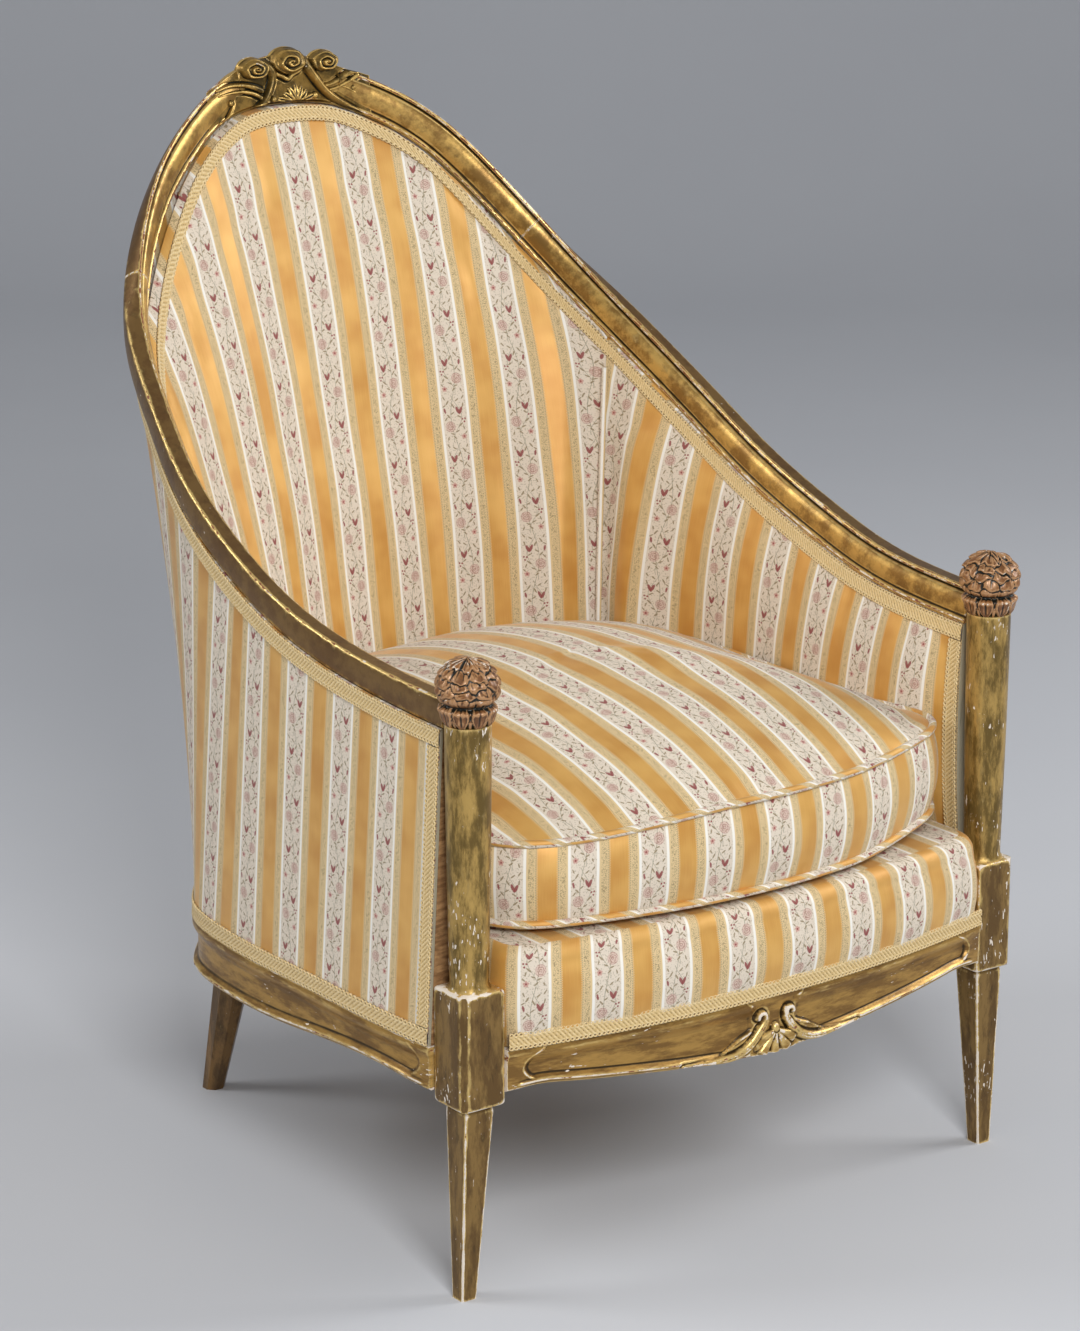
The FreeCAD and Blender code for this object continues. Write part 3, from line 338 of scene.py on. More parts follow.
def place_piece(piece: bpy.types.Object, slot: Slot, body: Body, replaces: Sequence[str]) -> None:
    """Put a piece on its body, hide the nodes it stands for, and report it."""
    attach(piece, body.value)
    if replaces:
        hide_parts(*replaces)
    log.info("%s: %d faces", piece.name, len(piece.data.polygons))


def weld(mesh: bpy.types.Mesh, distance: float = 1e-6) -> None:
    """Merge points that coincide, drop faces without area and turn the rest outwards."""
    shell = bmesh.new()
    shell.from_mesh(mesh)
    bmesh.ops.remove_doubles(shell, verts=shell.verts, dist=distance)
    bmesh.ops.dissolve_degenerate(shell, edges=shell.edges, dist=distance / 10)
    bmesh.ops.recalc_face_normals(shell, faces=shell.faces)
    shell.to_mesh(mesh)
    shell.free()


def mesh_points(mesh: bpy.types.Mesh) -> Array:
    """Places of a mesh's points."""
    points = np.empty(len(mesh.vertices) * 3, np.float32)
    mesh.vertices.foreach_get("co", points)
    return points.reshape(-1, 3).astype(float)


def mesh_edges(mesh: bpy.types.Mesh) -> tuple[NDArray[np.int32], NDArray[np.int32]]:
    """First and second point of every edge."""
    edges = np.empty(len(mesh.edges) * 2, np.int32)
    mesh.edges.foreach_get("vertices", edges)
    first, second = edges.reshape(-1, 2).T
    return first, second


def add_wear(mesh: bpy.types.Mesh, radius: float, blur: int = 2) -> None:
    """Write how sharp each arris and hollow is, as values from 0 to 1.

    A point's bend is the mean, over its edges, of the neighbour's height above the point's own
    tangent plane divided by the edge's length squared. Outward bends wear, inward bends hold dirt.

    Args:
        mesh: Mesh that gets the values arris and hollow.
        radius: Radius in metres of an arris that is fully worn.
        blur: How often each value is averaged with its neighbours'.
    """
    points = mesh_points(mesh)
    count = len(points)
    normals = np.empty(count * 3, np.float32)
    mesh.vertices.foreach_get("normal", normals)
    normals = normals.reshape(-1, 3)
    first, second = mesh_edges(mesh)
    run = points[second] - points[first]
    square = np.maximum((run**2).sum(1), 1e-12)
    bends = np.bincount(first, (run * normals[first]).sum(1) / square, count)
    bends += np.bincount(second, -(run * normals[second]).sum(1) / square, count)
    meets = np.maximum(np.bincount(first, minlength=count) + np.bincount(second, minlength=count), 1)
    bends = 2 * bends / meets * radius
    for key, values in (("arris", -bends), ("hollow", bends)):
        values = np.clip(values, 0, 1)
        for _ in range(blur):
            total = np.bincount(first, values[second], count) + np.bincount(second, values[first], count)
            values = 0.5 * values + 0.5 * total / meets
        add_values(mesh, key, values)


def nearest_points(points: Array, targets: Array) -> tuple[Array, Array]:
    """Index of the nearest target of every point, and how far away it is.

    Args:
        points: Points to look from.
        targets: Points to look for.

    Returns:
        Indices and distances.
    """
    square = (targets**2).sum(1)
    blocks = np.array_split(points, len(points) // 1500 + 1)
    index = np.concatenate([(square - 2 * block @ targets.T).argmin(1) for block in blocks])
    return index, np.linalg.norm(points - targets[index], axis=1)


@dataclass(frozen=True)
class Stuffing:
    """Cloth simulation that swells a stuffed piece between the lines where it is sewn or tacked."""

    voxel: float = 0.008
    pressure: float = 4.0
    frames: int = 20
    limit: float = 0.008
    sideways: float = 1.0
    slack: float = 0.012
    quality: int = 5
    mass: float = 0.25
    smoothing: int = 6

    def swell(self, piece: bpy.types.Object, free: Array) -> None:
        """Swell a remeshed copy and carry its capped movement over to the piece.

        Args:
            piece: Closed mesh of the stuffed piece.
            free: Points of the piece that may move. All others are held.
        """
        scene = bpy.context.scene
        pad = bpy.data.objects.new("stuffing", piece.data.copy())
        scene.collection.objects.link(pad)
        remesh = pad.modifiers.new("remesh", "REMESH")
        remesh.mode = "VOXEL"
        remesh.voxel_size = self.voxel
        pad.data = bpy.data.meshes.new_from_object(pad.evaluated_get(bpy.context.evaluated_depsgraph_get()))
        pad.modifiers.clear()
        rest = mesh_points(pad.data)
        held = np.flatnonzero(nearest_points(rest, free)[1] > 0.9 * self.voxel)
        pad.vertex_groups.new(name="held").add(held.tolist(), 1.0, "REPLACE")
        cloth = pad.modifiers.new("cloth", "CLOTH")
        settings = cloth.settings
        settings.quality = self.quality
        settings.mass = self.mass
        settings.use_pressure = True
        settings.uniform_pressure_force = self.pressure
        settings.shrink_min = -self.slack
        settings.vertex_group_mass = "held"
        settings.effector_weights.gravity = 0
        cloth.point_cache.frame_end = self.frames
        for frame in range(1, self.frames + 1):
            scene.frame_set(frame)
        swollen = bpy.data.meshes.new_from_object(pad.evaluated_get(bpy.context.evaluated_depsgraph_get()))
        shift = (mesh_points(swollen) - rest) * (self.sideways, self.sideways, 1.0)
        scene.frame_set(1)
        bpy.data.objects.remove(pad)
        size = np.maximum(np.linalg.norm(shift, axis=1, keepdims=True), 1e-9)
        shift = shift / size * self.limit * np.tanh(size / self.limit)
        points = mesh_points(piece.data)
        moved = shift[nearest_points(points, rest)[0]]
        first, second = mesh_edges(piece.data)
        meets = np.bincount(np.concatenate([first, second]), minlength=len(points))
        meets = np.maximum(meets, 1)[:, None]
        for _ in range(self.smoothing):
            total = np.zeros_like(moved)
            np.add.at(total, first, moved[second])
            np.add.at(total, second, moved[first])
            moved = 0.5 * moved + 0.5 * total / meets
        piece.data.vertices.foreach_set("co", (points + moved).astype(np.float32).ravel())
        piece.data.update()
        log.info("%s swelled by up to %.1f mm", piece.name, float(np.linalg.norm(moved, axis=1).max()) / MM)


def tube(path: Array, radius: float, reference: Array, sides: int = 16, closed: bool = False) -> list[Patch]:
    """Round cord along a path: a circle in the plane of two directions square to the path.

    Args:
        path: Points of the path, the first repeated at the end if it closes.
        radius: Radius of the cord.
        reference: Direction that the path never runs along.
        sides: Points round the cord.
        closed: Whether the path closes.

    Returns:
        The cord's patches, with its cloth coordinates along and round it.
    """
    run = np.gradient(path, axis=0)
    if closed:
        run[0] = run[-1] = path[1] - path[-2]
    run = unit(run)
    side = unit(np.cross(run, reference))
    out = np.cross(side, run)
    turn = np.linspace(0, 2 * math.pi, sides + 1)
    points = (path[:, None] + radius * np.cos(turn)[None, :, None] * side[:, None]
              + radius * np.sin(turn)[None, :, None] * out[:, None])
    gone = travelled(path)[:, None]
    around = turn[None] * radius
    cloth = np.stack([gone + 1.6 * around, gone - around], -1)
    patches = [Patch(points, cloth)]
    if not closed:
        patches += [cap(points[0]), cap(points[-1])]
    return patches


# Finishes


def from_srgb(red: int, green: int, blue: int) -> Colour:
    """Linear colour from the three numbers of a screen colour, 0 to 255."""
    shares = np.array([red, green, blue]) / 255
    linear = np.where(shares <= 0.04045, shares / 12.92, ((shares + 0.055) / 1.055) ** 2.4)
    return (float(linear[0]), float(linear[1]), float(linear[2]), 1.0)


class Nodes:
    """Node tree of one finish, with short calls for the nodes that it needs."""

    def __init__(self, name: str) -> None:
        """Start a material with a shader and an output."""
        self.material = bpy.data.materials.new(name)
        self.material.use_nodes = True
        self.tree = self.material.node_tree
        self.tree.nodes.clear()
        self.shader = self.add("ShaderNodeBsdfPrincipled")
        output = self.add("ShaderNodeOutputMaterial")
        self.tree.links.new(self.shader.outputs[0], output.inputs["Surface"])

    def add(self, kind: str, **settings: object) -> bpy.types.Node:
        """Add a node and set its properties."""
        node = self.tree.nodes.new(kind)
        for key, value in settings.items():
            setattr(node, key, value)
        return node

    def feed(self, socket: Socket, value: object) -> None:
        """Link a socket to another, or give it a number, a vector or a colour."""
        if isinstance(value, Socket):
            self.tree.links.new(value, socket)
        else:
            socket.default_value = value

    def shade(self, **inputs: object) -> None:
        """Feed sockets of the shader, named with underscores for spaces."""
        for key, value in inputs.items():
            self.feed(self.shader.inputs[key.replace("_", " ")], value)

    def maths(self, operation: str, first: object, second: object = 0.0, third: object = 0.0,
              clamp: bool = False) -> Socket:
        """Result of a sum on up to three values."""
        node = self.add("ShaderNodeMath", operation=operation, use_clamp=clamp)
        for socket, value in zip(node.inputs, (first, second, third)):
            self.feed(socket, value)
        return node.outputs[0]

    def rise(self, value: object, low: float, high: float) -> Socket:
        """Eased rise from 0 at low to 1 at high. It falls if low is above high."""
        node = self.add("ShaderNodeMapRange", interpolation_type="SMOOTHSTEP")
        ends = (low, high, 0.0, 1.0) if low < high else (high, low, 1.0, 0.0)
        self.feed(node.inputs[0], value)
        for socket, end in zip(list(node.inputs)[1:5], ends):
            socket.default_value = end
        return node.outputs[0]

    def times(self, first: object, second: object, clamp: bool = False) -> Socket:
        """Product of two values."""
        return self.maths("MULTIPLY", first, second, clamp=clamp)

    def times_plus(self, first: object, second: object, third: object) -> Socket:
        """Product of two values, plus a third."""
        return self.maths("MULTIPLY_ADD", first, second, third)

    def band(self, value: object, low: float, high: float, edge: float) -> Socket:
        """1 between low and high, with soft edges."""
        return self.times(self.rise(value, low - edge, low + edge),
                          self.rise(value, high + edge, high - edge))

    def blend(self, share: object, low: object, high: object, kind: str = "MIX") -> Socket:
        """Colour between two others."""
        node = self.add("ShaderNodeMix", data_type="RGBA", blend_type=kind)
        self.feed(node.inputs[0], share)
        self.feed(node.inputs[6], low)
        self.feed(node.inputs[7], high)
        return node.outputs[2]

    def place(self) -> Socket:
        """Place of the shaded point in the piece's own frame."""
        return self.add("ShaderNodeTexCoord").outputs["Object"]

    def cloth(self) -> Socket:
        """Place on the cloth, in metres."""
        return self.add("ShaderNodeUVMap", uv_map="cloth").outputs[0]

    def value(self, name: str) -> Socket:
        """A value that the mesh carries."""
        return self.add("ShaderNodeAttribute", attribute_name=name).outputs["Fac"]

    def stretched(self, vector: object, scale: tuple[float, float, float]) -> Socket:
        """Vector with each coordinate multiplied."""
        node = self.add("ShaderNodeVectorMath", operation="MULTIPLY")
        self.feed(node.inputs[0], vector)
        self.feed(node.inputs[1], scale)
        return node.outputs[0]

    def parts(self, vector: object) -> list[Socket]:
        """The three coordinates of a vector."""
        node = self.add("ShaderNodeSeparateXYZ")
        self.feed(node.inputs[0], vector)
        return list(node.outputs)

    def noise(self, vector: object, scale: float, detail: float = 3.0, roughness: float = 0.55) -> Socket:
        """Cloudy value around 0.5."""
        node = self.add("ShaderNodeTexNoise")
        self.feed(node.inputs["Vector"], vector)
        node.inputs["Scale"].default_value = scale
        node.inputs["Detail"].default_value = detail
        node.inputs["Roughness"].default_value = roughness
        return node.outputs["Fac"]

    def bump(self, height: object, distance: float, strength: float = 1.0) -> None:
        """Give the shader a bump of a height in metres."""
        node = self.add("ShaderNodeBump")
        node.inputs["Strength"].default_value = strength
        node.inputs["Distance"].default_value = distance
        self.feed(node.inputs["Height"], height)
        self.tree.links.new(node.outputs[0], self.shader.inputs["Normal"])

    def spot(self, vector: object, centre: tuple[float, float], radii: tuple[float, float], turn: float = 0.0,
             edge: float = 0.18) -> Socket:
        """1 inside a turned ellipse: where the place in its own axes and radii is shorter than 1."""
        node = self.add("ShaderNodeMapping", vector_type="TEXTURE")
        self.feed(node.inputs["Vector"], vector)
        node.inputs["Location"].default_value = (*centre, 0)
        node.inputs["Rotation"].default_value = (0, 0, math.radians(turn))
        node.inputs["Scale"].default_value = (*radii, 1)
        length = self.add("ShaderNodeVectorMath", operation="LENGTH")
        self.feed(length.inputs[0], node.outputs[0])
        return self.rise(length.outputs["Value"], 1 + edge, 1 - edge)


@dataclass(frozen=True)
class GiltFinish:
    """Old bronze-gold leaf over red clay and white gesso, rubbed at the arrises and dirty in the hollows."""

    name: str
    gold: Colour = from_srgb(204, 166, 92)
    shade: Colour = from_srgb(142, 108, 54)
    dirt: Colour = from_srgb(50, 40, 22)
    rubbed: Colour = from_srgb(224, 192, 122)
    clay: Colour = from_srgb(132, 76, 46)
    gesso: Colour = from_srgb(228, 216, 200)
    brown: Colour = from_srgb(106, 76, 46)
    metal: float = 0.6
    clay_reach: float = 0.70
    chip_reach: float = 0.66
    grime: float = 0.45
    flaking: float = 0.78
    chipping: float = 0.34
    streaks: tuple[float, float, float] = (1.0, 1.0, 1.0)

    def make(self) -> Material:
        """Blend gold over its shade with clouds and streaks, then lay dirt, rubbing, clay and gesso on it."""
        nodes = Nodes(self.name)
        place = nodes.place()
        streaked = nodes.stretched(place, self.streaks)
        clouds = nodes.noise(streaked, 30, 6, 0.72)
        specks = nodes.noise(place, 260, 3, 0.6)
        patches = nodes.noise(streaked, 80, 5, 0.66)
        arris = nodes.value("arris")
        colour = nodes.blend(nodes.rise(clouds, 0.40, 0.60), self.shade, self.gold)
        colour = nodes.blend(nodes.times(nodes.value("brown"), 0.8), colour, self.brown)
        colour = nodes.blend(nodes.times(nodes.rise(patches, 0.54, 0.72), self.grime), colour, self.dirt)
        hollow = nodes.maths("ADD", nodes.value("hollow"), nodes.value("grime"))
        dirty = nodes.times(hollow, nodes.maths("ADD", patches, 0.55), clamp=True)
        colour = nodes.blend(nodes.rise(dirty, 0.08, 0.55), colour, self.dirt)
        worn = nodes.times_plus(patches, 0.9, nodes.times(arris, 0.8))
        colour = nodes.blend(nodes.rise(worn, 0.58, 0.85), colour, self.rubbed)
        ragged = nodes.times_plus(patches, 0.5, nodes.times(arris, 0.45))
        ragged = nodes.times_plus(specks, 0.35, ragged)
        clay = nodes.rise(ragged, self.clay_reach, self.clay_reach + 0.06)
        colour = nodes.blend(clay, colour, self.clay)
        chip = self._chips(nodes, place, streaked, specks, arris)
        colour = nodes.blend(chip, colour, self.gesso)
        bare = nodes.maths("MAXIMUM", chip, clay)
        gilded = nodes.maths("SUBTRACT", 1.0, bare)
        roughness = nodes.times_plus(specks, 0.25, nodes.times_plus(bare, 0.3, 0.22))
        nodes.shade(Base_Color=colour, Metallic=nodes.times(gilded, self.metal), Roughness=roughness)
        height = nodes.times_plus(specks, 0.35, patches)
        nodes.bump(nodes.times_plus(bare, -0.6, height), 0.5 * MM, 0.55)
        return nodes.material

    def _chips(self, nodes: Nodes, place: Socket, streaked: Socket, specks: Socket, arris: Socket) -> Socket:
        """Where gesso shows: the highest of breaks at arrises, scattered flakes and filler beside joints.

        Args:
            nodes: Tree that the nodes are added to.
            place: Place of the shaded point.
            streaked: The place, stretched by the streaks.
            specks: Fine noise.
            arris: How sharp an outward edge is.

        Returns:
            1 where the leaf is off, down to the gesso.
        """
        breaks = nodes.noise(place, 46, 5, 0.75)
        chipped = nodes.times_plus(breaks, 0.75, nodes.times(arris, self.chipping))
        flakes = nodes.noise(streaked, 190, 2, 0.5)
        sparse = nodes.rise(nodes.noise(place, 14, 2), 0.48, 0.62)
        flaked = nodes.times(flakes, nodes.times_plus(sparse, 0.14, self.flaking))
        cracks = nodes.times_plus(specks, 0.25, nodes.times(nodes.value("crack"), 0.9))
        chipped = nodes.maths("MAXIMUM", nodes.maths("MAXIMUM", chipped, flaked), cracks)
        return nodes.rise(chipped, self.chip_reach, self.chip_reach + 0.02)


@dataclass(frozen=True)
class StripedSilk:
    """Woven stripes: gold satin, cream borders with a toothed edge, white lines and a flowered ground.

    Cloth coordinates are in metres, across the stripes and along them. The flowers repeat with
    each repeat mirrored, half a period further on. Sizes in millimetres are measured from the
    middle of the flowered stripe.
    """

    name: str
    repeat: float = 70.0
    flower_period: float = 49.0
    ground_edge: float = 12.75
    white_edge: float = 15.4
    border_edge: float = 25.6
    tooth: float = 1.6
    rib_pitch: float = 0.55
    cord_pitch: float = 0.62
    gold: Colour = from_srgb(228, 178, 96)
    # Painted sheen: this darker gold and the gold above are the two ends of a sheen painted on the satin.
    gold_painted_shade: Colour = from_srgb(204, 146, 66)
    border: Colour = from_srgb(218, 192, 144)
    white: Colour = from_srgb(240, 236, 226)
    ground: Colour = from_srgb(221, 208, 190)
    olive: Colour = from_srgb(136, 118, 80)
    stem: Colour = from_srgb(136, 130, 104)
    red: Colour = from_srgb(138, 58, 56)
    pink: Colour = from_srgb(190, 130, 118)
    rose: tuple[float, float] = (5.6, 17.0)
    daisy: tuple[float, float] = (-8.0, 6.5)
    leaves: tuple[tuple[float, ...], ...] = (
        (1.5, 6.0, 0.7, 2.4, -50.0), (6.5, 27.5, 0.8, 2.6, -40.0), (2.2, 30.5, 0.7, 2.3, 60.0),
        (-5.6, 18.6, 0.8, 3.0, 48.0), (-8.6, 15.4, 0.7, 2.2, -20.0), (6.8, 41.5, 0.8, 2.8, 35.0),
        (-3.4, 44.0, 0.7, 2.4, 55.0), (1.0, 38.0, 0.8, 2.9, -30.0), (8.8, 5.0, 0.7, 2.1, 20.0),
        (-1.6, 12.0, 0.7, 2.3, 65.0), (4.0, 9.6, 0.7, 2.2, -70.0), (-9.2, 38.6, 0.7, 2.4, 12.0),
        (-4.6, 27.0, 0.7, 2.4, -58.0), (9.4, 25.0, 0.7, 2.3, 40.0), (10.0, 46.0, 0.7, 2.1, -25.0),
        (-9.6, 46.5, 0.7, 2.3, 38.0), (-10.4, 10.4, 0.6, 2.0, 40.0), (10.6, 38.0, 0.6, 2.0, 60.0))
    tulip_petals: tuple[tuple[float, ...], ...] = (
        (-6.4, 33.0, 1.5, 4.0, 24.0), (-3.4, 33.4, 1.5, 4.0, -22.0), (10.2, 33.5, 1.1, 2.9, -12.0))
    berries: tuple[tuple[float, float], ...] = ((-9.6, 21.4), (-10.4, 24.6), (-7.6, 24.2), (-8.0, 6.5))

    def make(self) -> Material:
        """Stripe by the distance from the flowered stripe's middle, paint a sheen on the gold, then draw the
        flowers and the weave.
        """
        nodes = Nodes(self.name)
        scaled = nodes.stretched(nodes.cloth(), (1 / MM, 1 / MM, 1))
        across, along = nodes.parts(scaled)[:2]
        offset = nodes.maths("WRAP", across, self.repeat / 2, -self.repeat / 2)
        distance = nodes.maths("ABSOLUTE", offset)
        # Painted sheen: cloud and streak noise blends the gold stripes between a darker and a lighter gold,
        # standing in for the satin's shine.
        clouds = nodes.noise(scaled, 0.02, 2)
        painted_sheen = nodes.noise(nodes.stretched(scaled, (1.0, 0.02, 1)), 1.4, 2)
        painted_sheen = nodes.times_plus(painted_sheen, 0.2, nodes.times(clouds, 0.8))
        gold = nodes.blend(nodes.rise(painted_sheen, 0.28, 0.72), self.gold_painted_shade, self.gold)
        teeth = nodes.maths("FRACT", nodes.maths("DIVIDE", along, self.tooth))
        teeth = nodes.maths("LESS_THAN", teeth, 0.42)
        toothed_edge = nodes.times_plus(teeth, -1.3, distance)
        is_gold = nodes.rise(toothed_edge, self.border_edge - 0.75, self.border_edge - 0.55)
        curls = nodes.band(nodes.noise(scaled, 0.55, 1, 0.4), 0.46, 0.54, 0.012)
        curls = nodes.times(curls, nodes.band(distance, self.white_edge + 1.8, self.border_edge - 2.6, 0.4))
        border = nodes.blend(nodes.times(curls, 0.75), self.border, self.olive)
        ticks = nodes.band(distance, self.border_edge - 1.9, self.border_edge - 0.6, 0.15)
        border = nodes.blend(nodes.times(nodes.times(teeth, ticks), 0.8), border, self.olive)
        colour = nodes.blend(is_gold, border, gold)
        is_white = nodes.rise(distance, self.white_edge + 0.15, self.white_edge - 0.15)
        colour = nodes.blend(is_white, colour, self.white)
        is_ground = nodes.rise(distance, self.ground_edge + 0.15, self.ground_edge - 0.15)
        colour = nodes.blend(is_ground, colour, self._flowers(nodes, offset, along, scaled))
        ribs = nodes.maths("SINE", nodes.times(along, 2 * math.pi / self.rib_pitch))
        cords = nodes.maths("SINE", nodes.times(across, 2 * math.pi / self.cord_pitch))
        weave = nodes.times(nodes.times_plus(ribs, 0.5, 0.5), nodes.times_plus(cords, 0.5, 0.5))
        relief = nodes.times_plus(weave, 0.45, nodes.times(is_gold, 0.35))
        relief = nodes.times_plus(is_ground, 0.25, relief)
        roughness = nodes.times_plus(is_gold, -0.34, 0.74)
        roughness = nodes.times_plus(nodes.maths("SUBTRACT", is_white, is_ground), -0.15, roughness)
        nodes.shade(Base_Color=colour, Roughness=roughness, Sheen_Weight=0.15, Sheen_Roughness=0.4,
                    Specular_IOR_Level=0.6, Metallic=nodes.times(is_gold, 0.25))
        nodes.bump(relief, 0.25 * MM, 0.5)
        return nodes.material

    def _flowers(self, nodes: Nodes, offset: Socket, along: Socket,
                 scaled: Socket) -> Socket:
        """Sprigs on the light ground: a stem that swings from side to side, with a tulip, a rose and berries.

        Args:
            nodes: Tree that the nodes are added to.
            offset: Place across the stripe, from its middle.
            along: Place along the stripe.
            scaled: Place on the cloth in millimetres.

        Returns:
            Colour of the flowered stripe.
        """
        step = nodes.maths("DIVIDE", along, self.flower_period)
        parity = nodes.maths("MODULO", nodes.maths("ADD", nodes.maths("FLOOR", step), 4000.0), 2.0)
        flipped = nodes.times(offset, nodes.times_plus(parity, -2.0, 1.0))
        height = nodes.times(nodes.maths("FRACT", step), self.flower_period)
        ragged = nodes.times_plus(nodes.noise(scaled, 1.1, 2), 1.5, -0.75)
        flipped = nodes.maths("ADD", flipped, ragged)
        join = nodes.add("ShaderNodeCombineXYZ")
        nodes.feed(join.inputs[0], flipped)
        nodes.feed(join.inputs[1], nodes.maths("ADD", height, nodes.times(ragged, -0.8)))
        place = join.outputs[0]
        swing = nodes.times(nodes.maths("SINE", nodes.times(height, math.pi / self.flower_period)), 4.2)
        stem = nodes.rise(nodes.maths("ABSOLUTE", nodes.maths("SUBTRACT", flipped, swing)), 0.45, 0.18)
        curl = nodes.maths("SINE", nodes.times_plus(height, 2 * math.pi / self.flower_period, 1.2))
        curl = nodes.maths("SUBTRACT", flipped, nodes.times_plus(curl, 5.0, -2.2))
        curl = nodes.rise(nodes.maths("ABSOLUTE", curl), 0.5, 0.25)
        stem = nodes.maths("MAXIMUM", stem, nodes.times(curl, 0.7))
        colour = nodes.blend(nodes.times(stem, 0.8), self.ground, self.stem)
        sprays = nodes.rise(nodes.noise(scaled, 0.62, 1, 0.4), 0.60, 0.63)
        colour = nodes.blend(nodes.times(sprays, 0.45), colour, self.olive)
        for *spot, turn in self.leaves:
            leaf = nodes.spot(place, spot[:2], spot[2:], turn)
            colour = nodes.blend(nodes.times(leaf, 0.85), colour, self.olive)
        bloom = nodes.spot(place, self.rose, (5.2, 5.4), 0, 0.1)
        apart = nodes.add("ShaderNodeVectorMath", operation="DISTANCE")
        nodes.feed(apart.inputs[0], place)
        nodes.feed(apart.inputs[1], (*self.rose, 0))
        rings = nodes.times(nodes.noise(scaled, 0.45, 1), 9.0)
        rings = nodes.maths("SINE", nodes.times_plus(apart.outputs["Value"], 3.1, rings))
        petals = nodes.times(bloom, nodes.rise(rings, -0.1, 0.5))
        colour = nodes.blend(nodes.times(bloom, 0.3), colour, self.pink)
        colour = nodes.blend(nodes.times(petals, 0.5), colour, self.red)
        for *spot, turn in self.tulip_petals:
            petal = nodes.spot(place, spot[:2], spot[2:], turn)
            colour = nodes.blend(nodes.times(petal, 0.92), colour, self.red)
        for turn in range(0, 360, 72):
            angle = math.radians(turn)
            centre = (self.daisy[0] + 1.7 * math.sin(angle), self.daisy[1] + 1.7 * math.cos(angle))
            petal = nodes.spot(place, centre, (1.1, 1.3), -turn)
            colour = nodes.blend(nodes.times(petal, 0.7), colour, self.pink)
        for centre in self.berries:
            berry = nodes.spot(place, centre, (0.95, 0.95))
            colour = nodes.blend(nodes.times(berry, 0.95), colour, self.red)
        return colour


@dataclass(frozen=True)
class BraidFinish:
    """Woven silk braid, with a painted highlight on its raised threads and painted shade between them."""

    name: str
    thread: Colour = from_srgb(212, 182, 124)
    # light is the painted highlight colour of the raised threads, and depth the painted shade colour between
    # them.
    light: Colour = from_srgb(238, 216, 168)
    depth: Colour = from_srgb(98, 68, 34)

    def make(self) -> Material:
        """Colour by the height of the threads, painted shade low and painted highlight high, with fine
        strands across them.
        """
        nodes = Nodes(self.name)
        cloth = nodes.stretched(nodes.cloth(), (1 / MM, 1 / MM, 1))
        relief = nodes.value("relief")
        mottle = nodes.noise(cloth, 0.35, 2)
        # Painted shade: the low places between the threads are darkened towards depth.
        colour = nodes.blend(nodes.rise(relief, 0.05, 0.5), self.depth, self.thread)
        # Painted highlight: the highest threads are lightened towards light where the mottle allows.
        painted_highlight = nodes.times(nodes.rise(relief, 0.55, 0.95), nodes.rise(mottle, 0.3, 0.6))
        colour = nodes.blend(painted_highlight, colour, self.light)
        strands = nodes.noise(nodes.stretched(cloth, (3.0, 1.0, 1)), 2.2, 2)
        nodes.shade(Base_Color=colour, Roughness=nodes.times_plus(strands, 0.25, 0.45),
                    Sheen_Weight=0.2, Sheen_Roughness=0.4)
        nodes.bump(strands, 0.2 * MM, 0.5)
        return nodes.material


@dataclass(frozen=True)
class GrainFinish:
    """Bare beech: pale brown with long dark grain and a little dirt."""

    name: str
    light: Colour = from_srgb(178, 138, 92)
    dark: Colour = from_srgb(120, 84, 50)

    def make(self) -> Material:
        """Colour by noise that is stretched along the rails."""
        nodes = Nodes(self.name)
        place = nodes.place()
        grain = nodes.noise(nodes.stretched(place, (1.0, 0.35, 4.0)), 60, 5, 0.65)
        stains = nodes.noise(place, 9, 3)
        colour = nodes.blend(nodes.rise(grain, 0.35, 0.68), self.dark, self.light)
        colour = nodes.blend(nodes.times(nodes.rise(stains, 0.5, 0.75), 0.4), colour, self.dark)
        nodes.shade(Base_Color=colour, Roughness=nodes.times_plus(grain, 0.2, 0.55))
        nodes.bump(grain, 0.4 * MM, 0.4)
        return nodes.material


@dataclass(frozen=True)
class WovenFinish:
    """Coarse flat weave in two thread colours."""

    name: str
    thread: Colour
    depth: Colour
    pitch: float = 1.6

    def make(self) -> Material:
        """Colour by two crossing sines of the place."""
        nodes = Nodes(self.name)
        place = nodes.stretched(nodes.place(), (1 / MM, 1 / MM, 1 / MM))
        turns = 2 * math.pi / self.pitch
        threads = [nodes.maths("SINE", nodes.times(part, turns)) for part in nodes.parts(place)]
        weave = nodes.times(threads[0], nodes.maths("ADD", threads[1], threads[2]))
        level = nodes.times_plus(weave, 0.25, 0.5)
        fuzz = nodes.noise(place, 0.8, 3)
        share = nodes.times_plus(fuzz, 0.5, nodes.times(level, 0.6))
        colour = nodes.blend(nodes.rise(share, 0.25, 0.75), self.depth, self.thread)
        nodes.shade(Base_Color=colour, Roughness=nodes.times_plus(fuzz, 0.1, 0.82), Sheen_Weight=0.2)
        nodes.bump(level, 0.5 * MM, 0.6)
        return nodes.material


@dataclass(frozen=True)
class SteelFinish:
    """Old zinc-grey screws with brown spots."""

    name: str
    steel: Colour = from_srgb(128, 124, 116)
    rust: Colour = from_srgb(92, 58, 36)

    def make(self) -> Material:
        """Colour and roughness by spots of rust."""
        nodes = Nodes(self.name)
        spots = nodes.rise(nodes.noise(nodes.place(), 160, 4), 0.5, 0.66)
        nodes.shade(Base_Color=nodes.blend(spots, self.steel, self.rust),
                    Metallic=nodes.times_plus(spots, -0.7, 0.9),
                    Roughness=nodes.times_plus(spots, 0.4, 0.35))
        return nodes.material


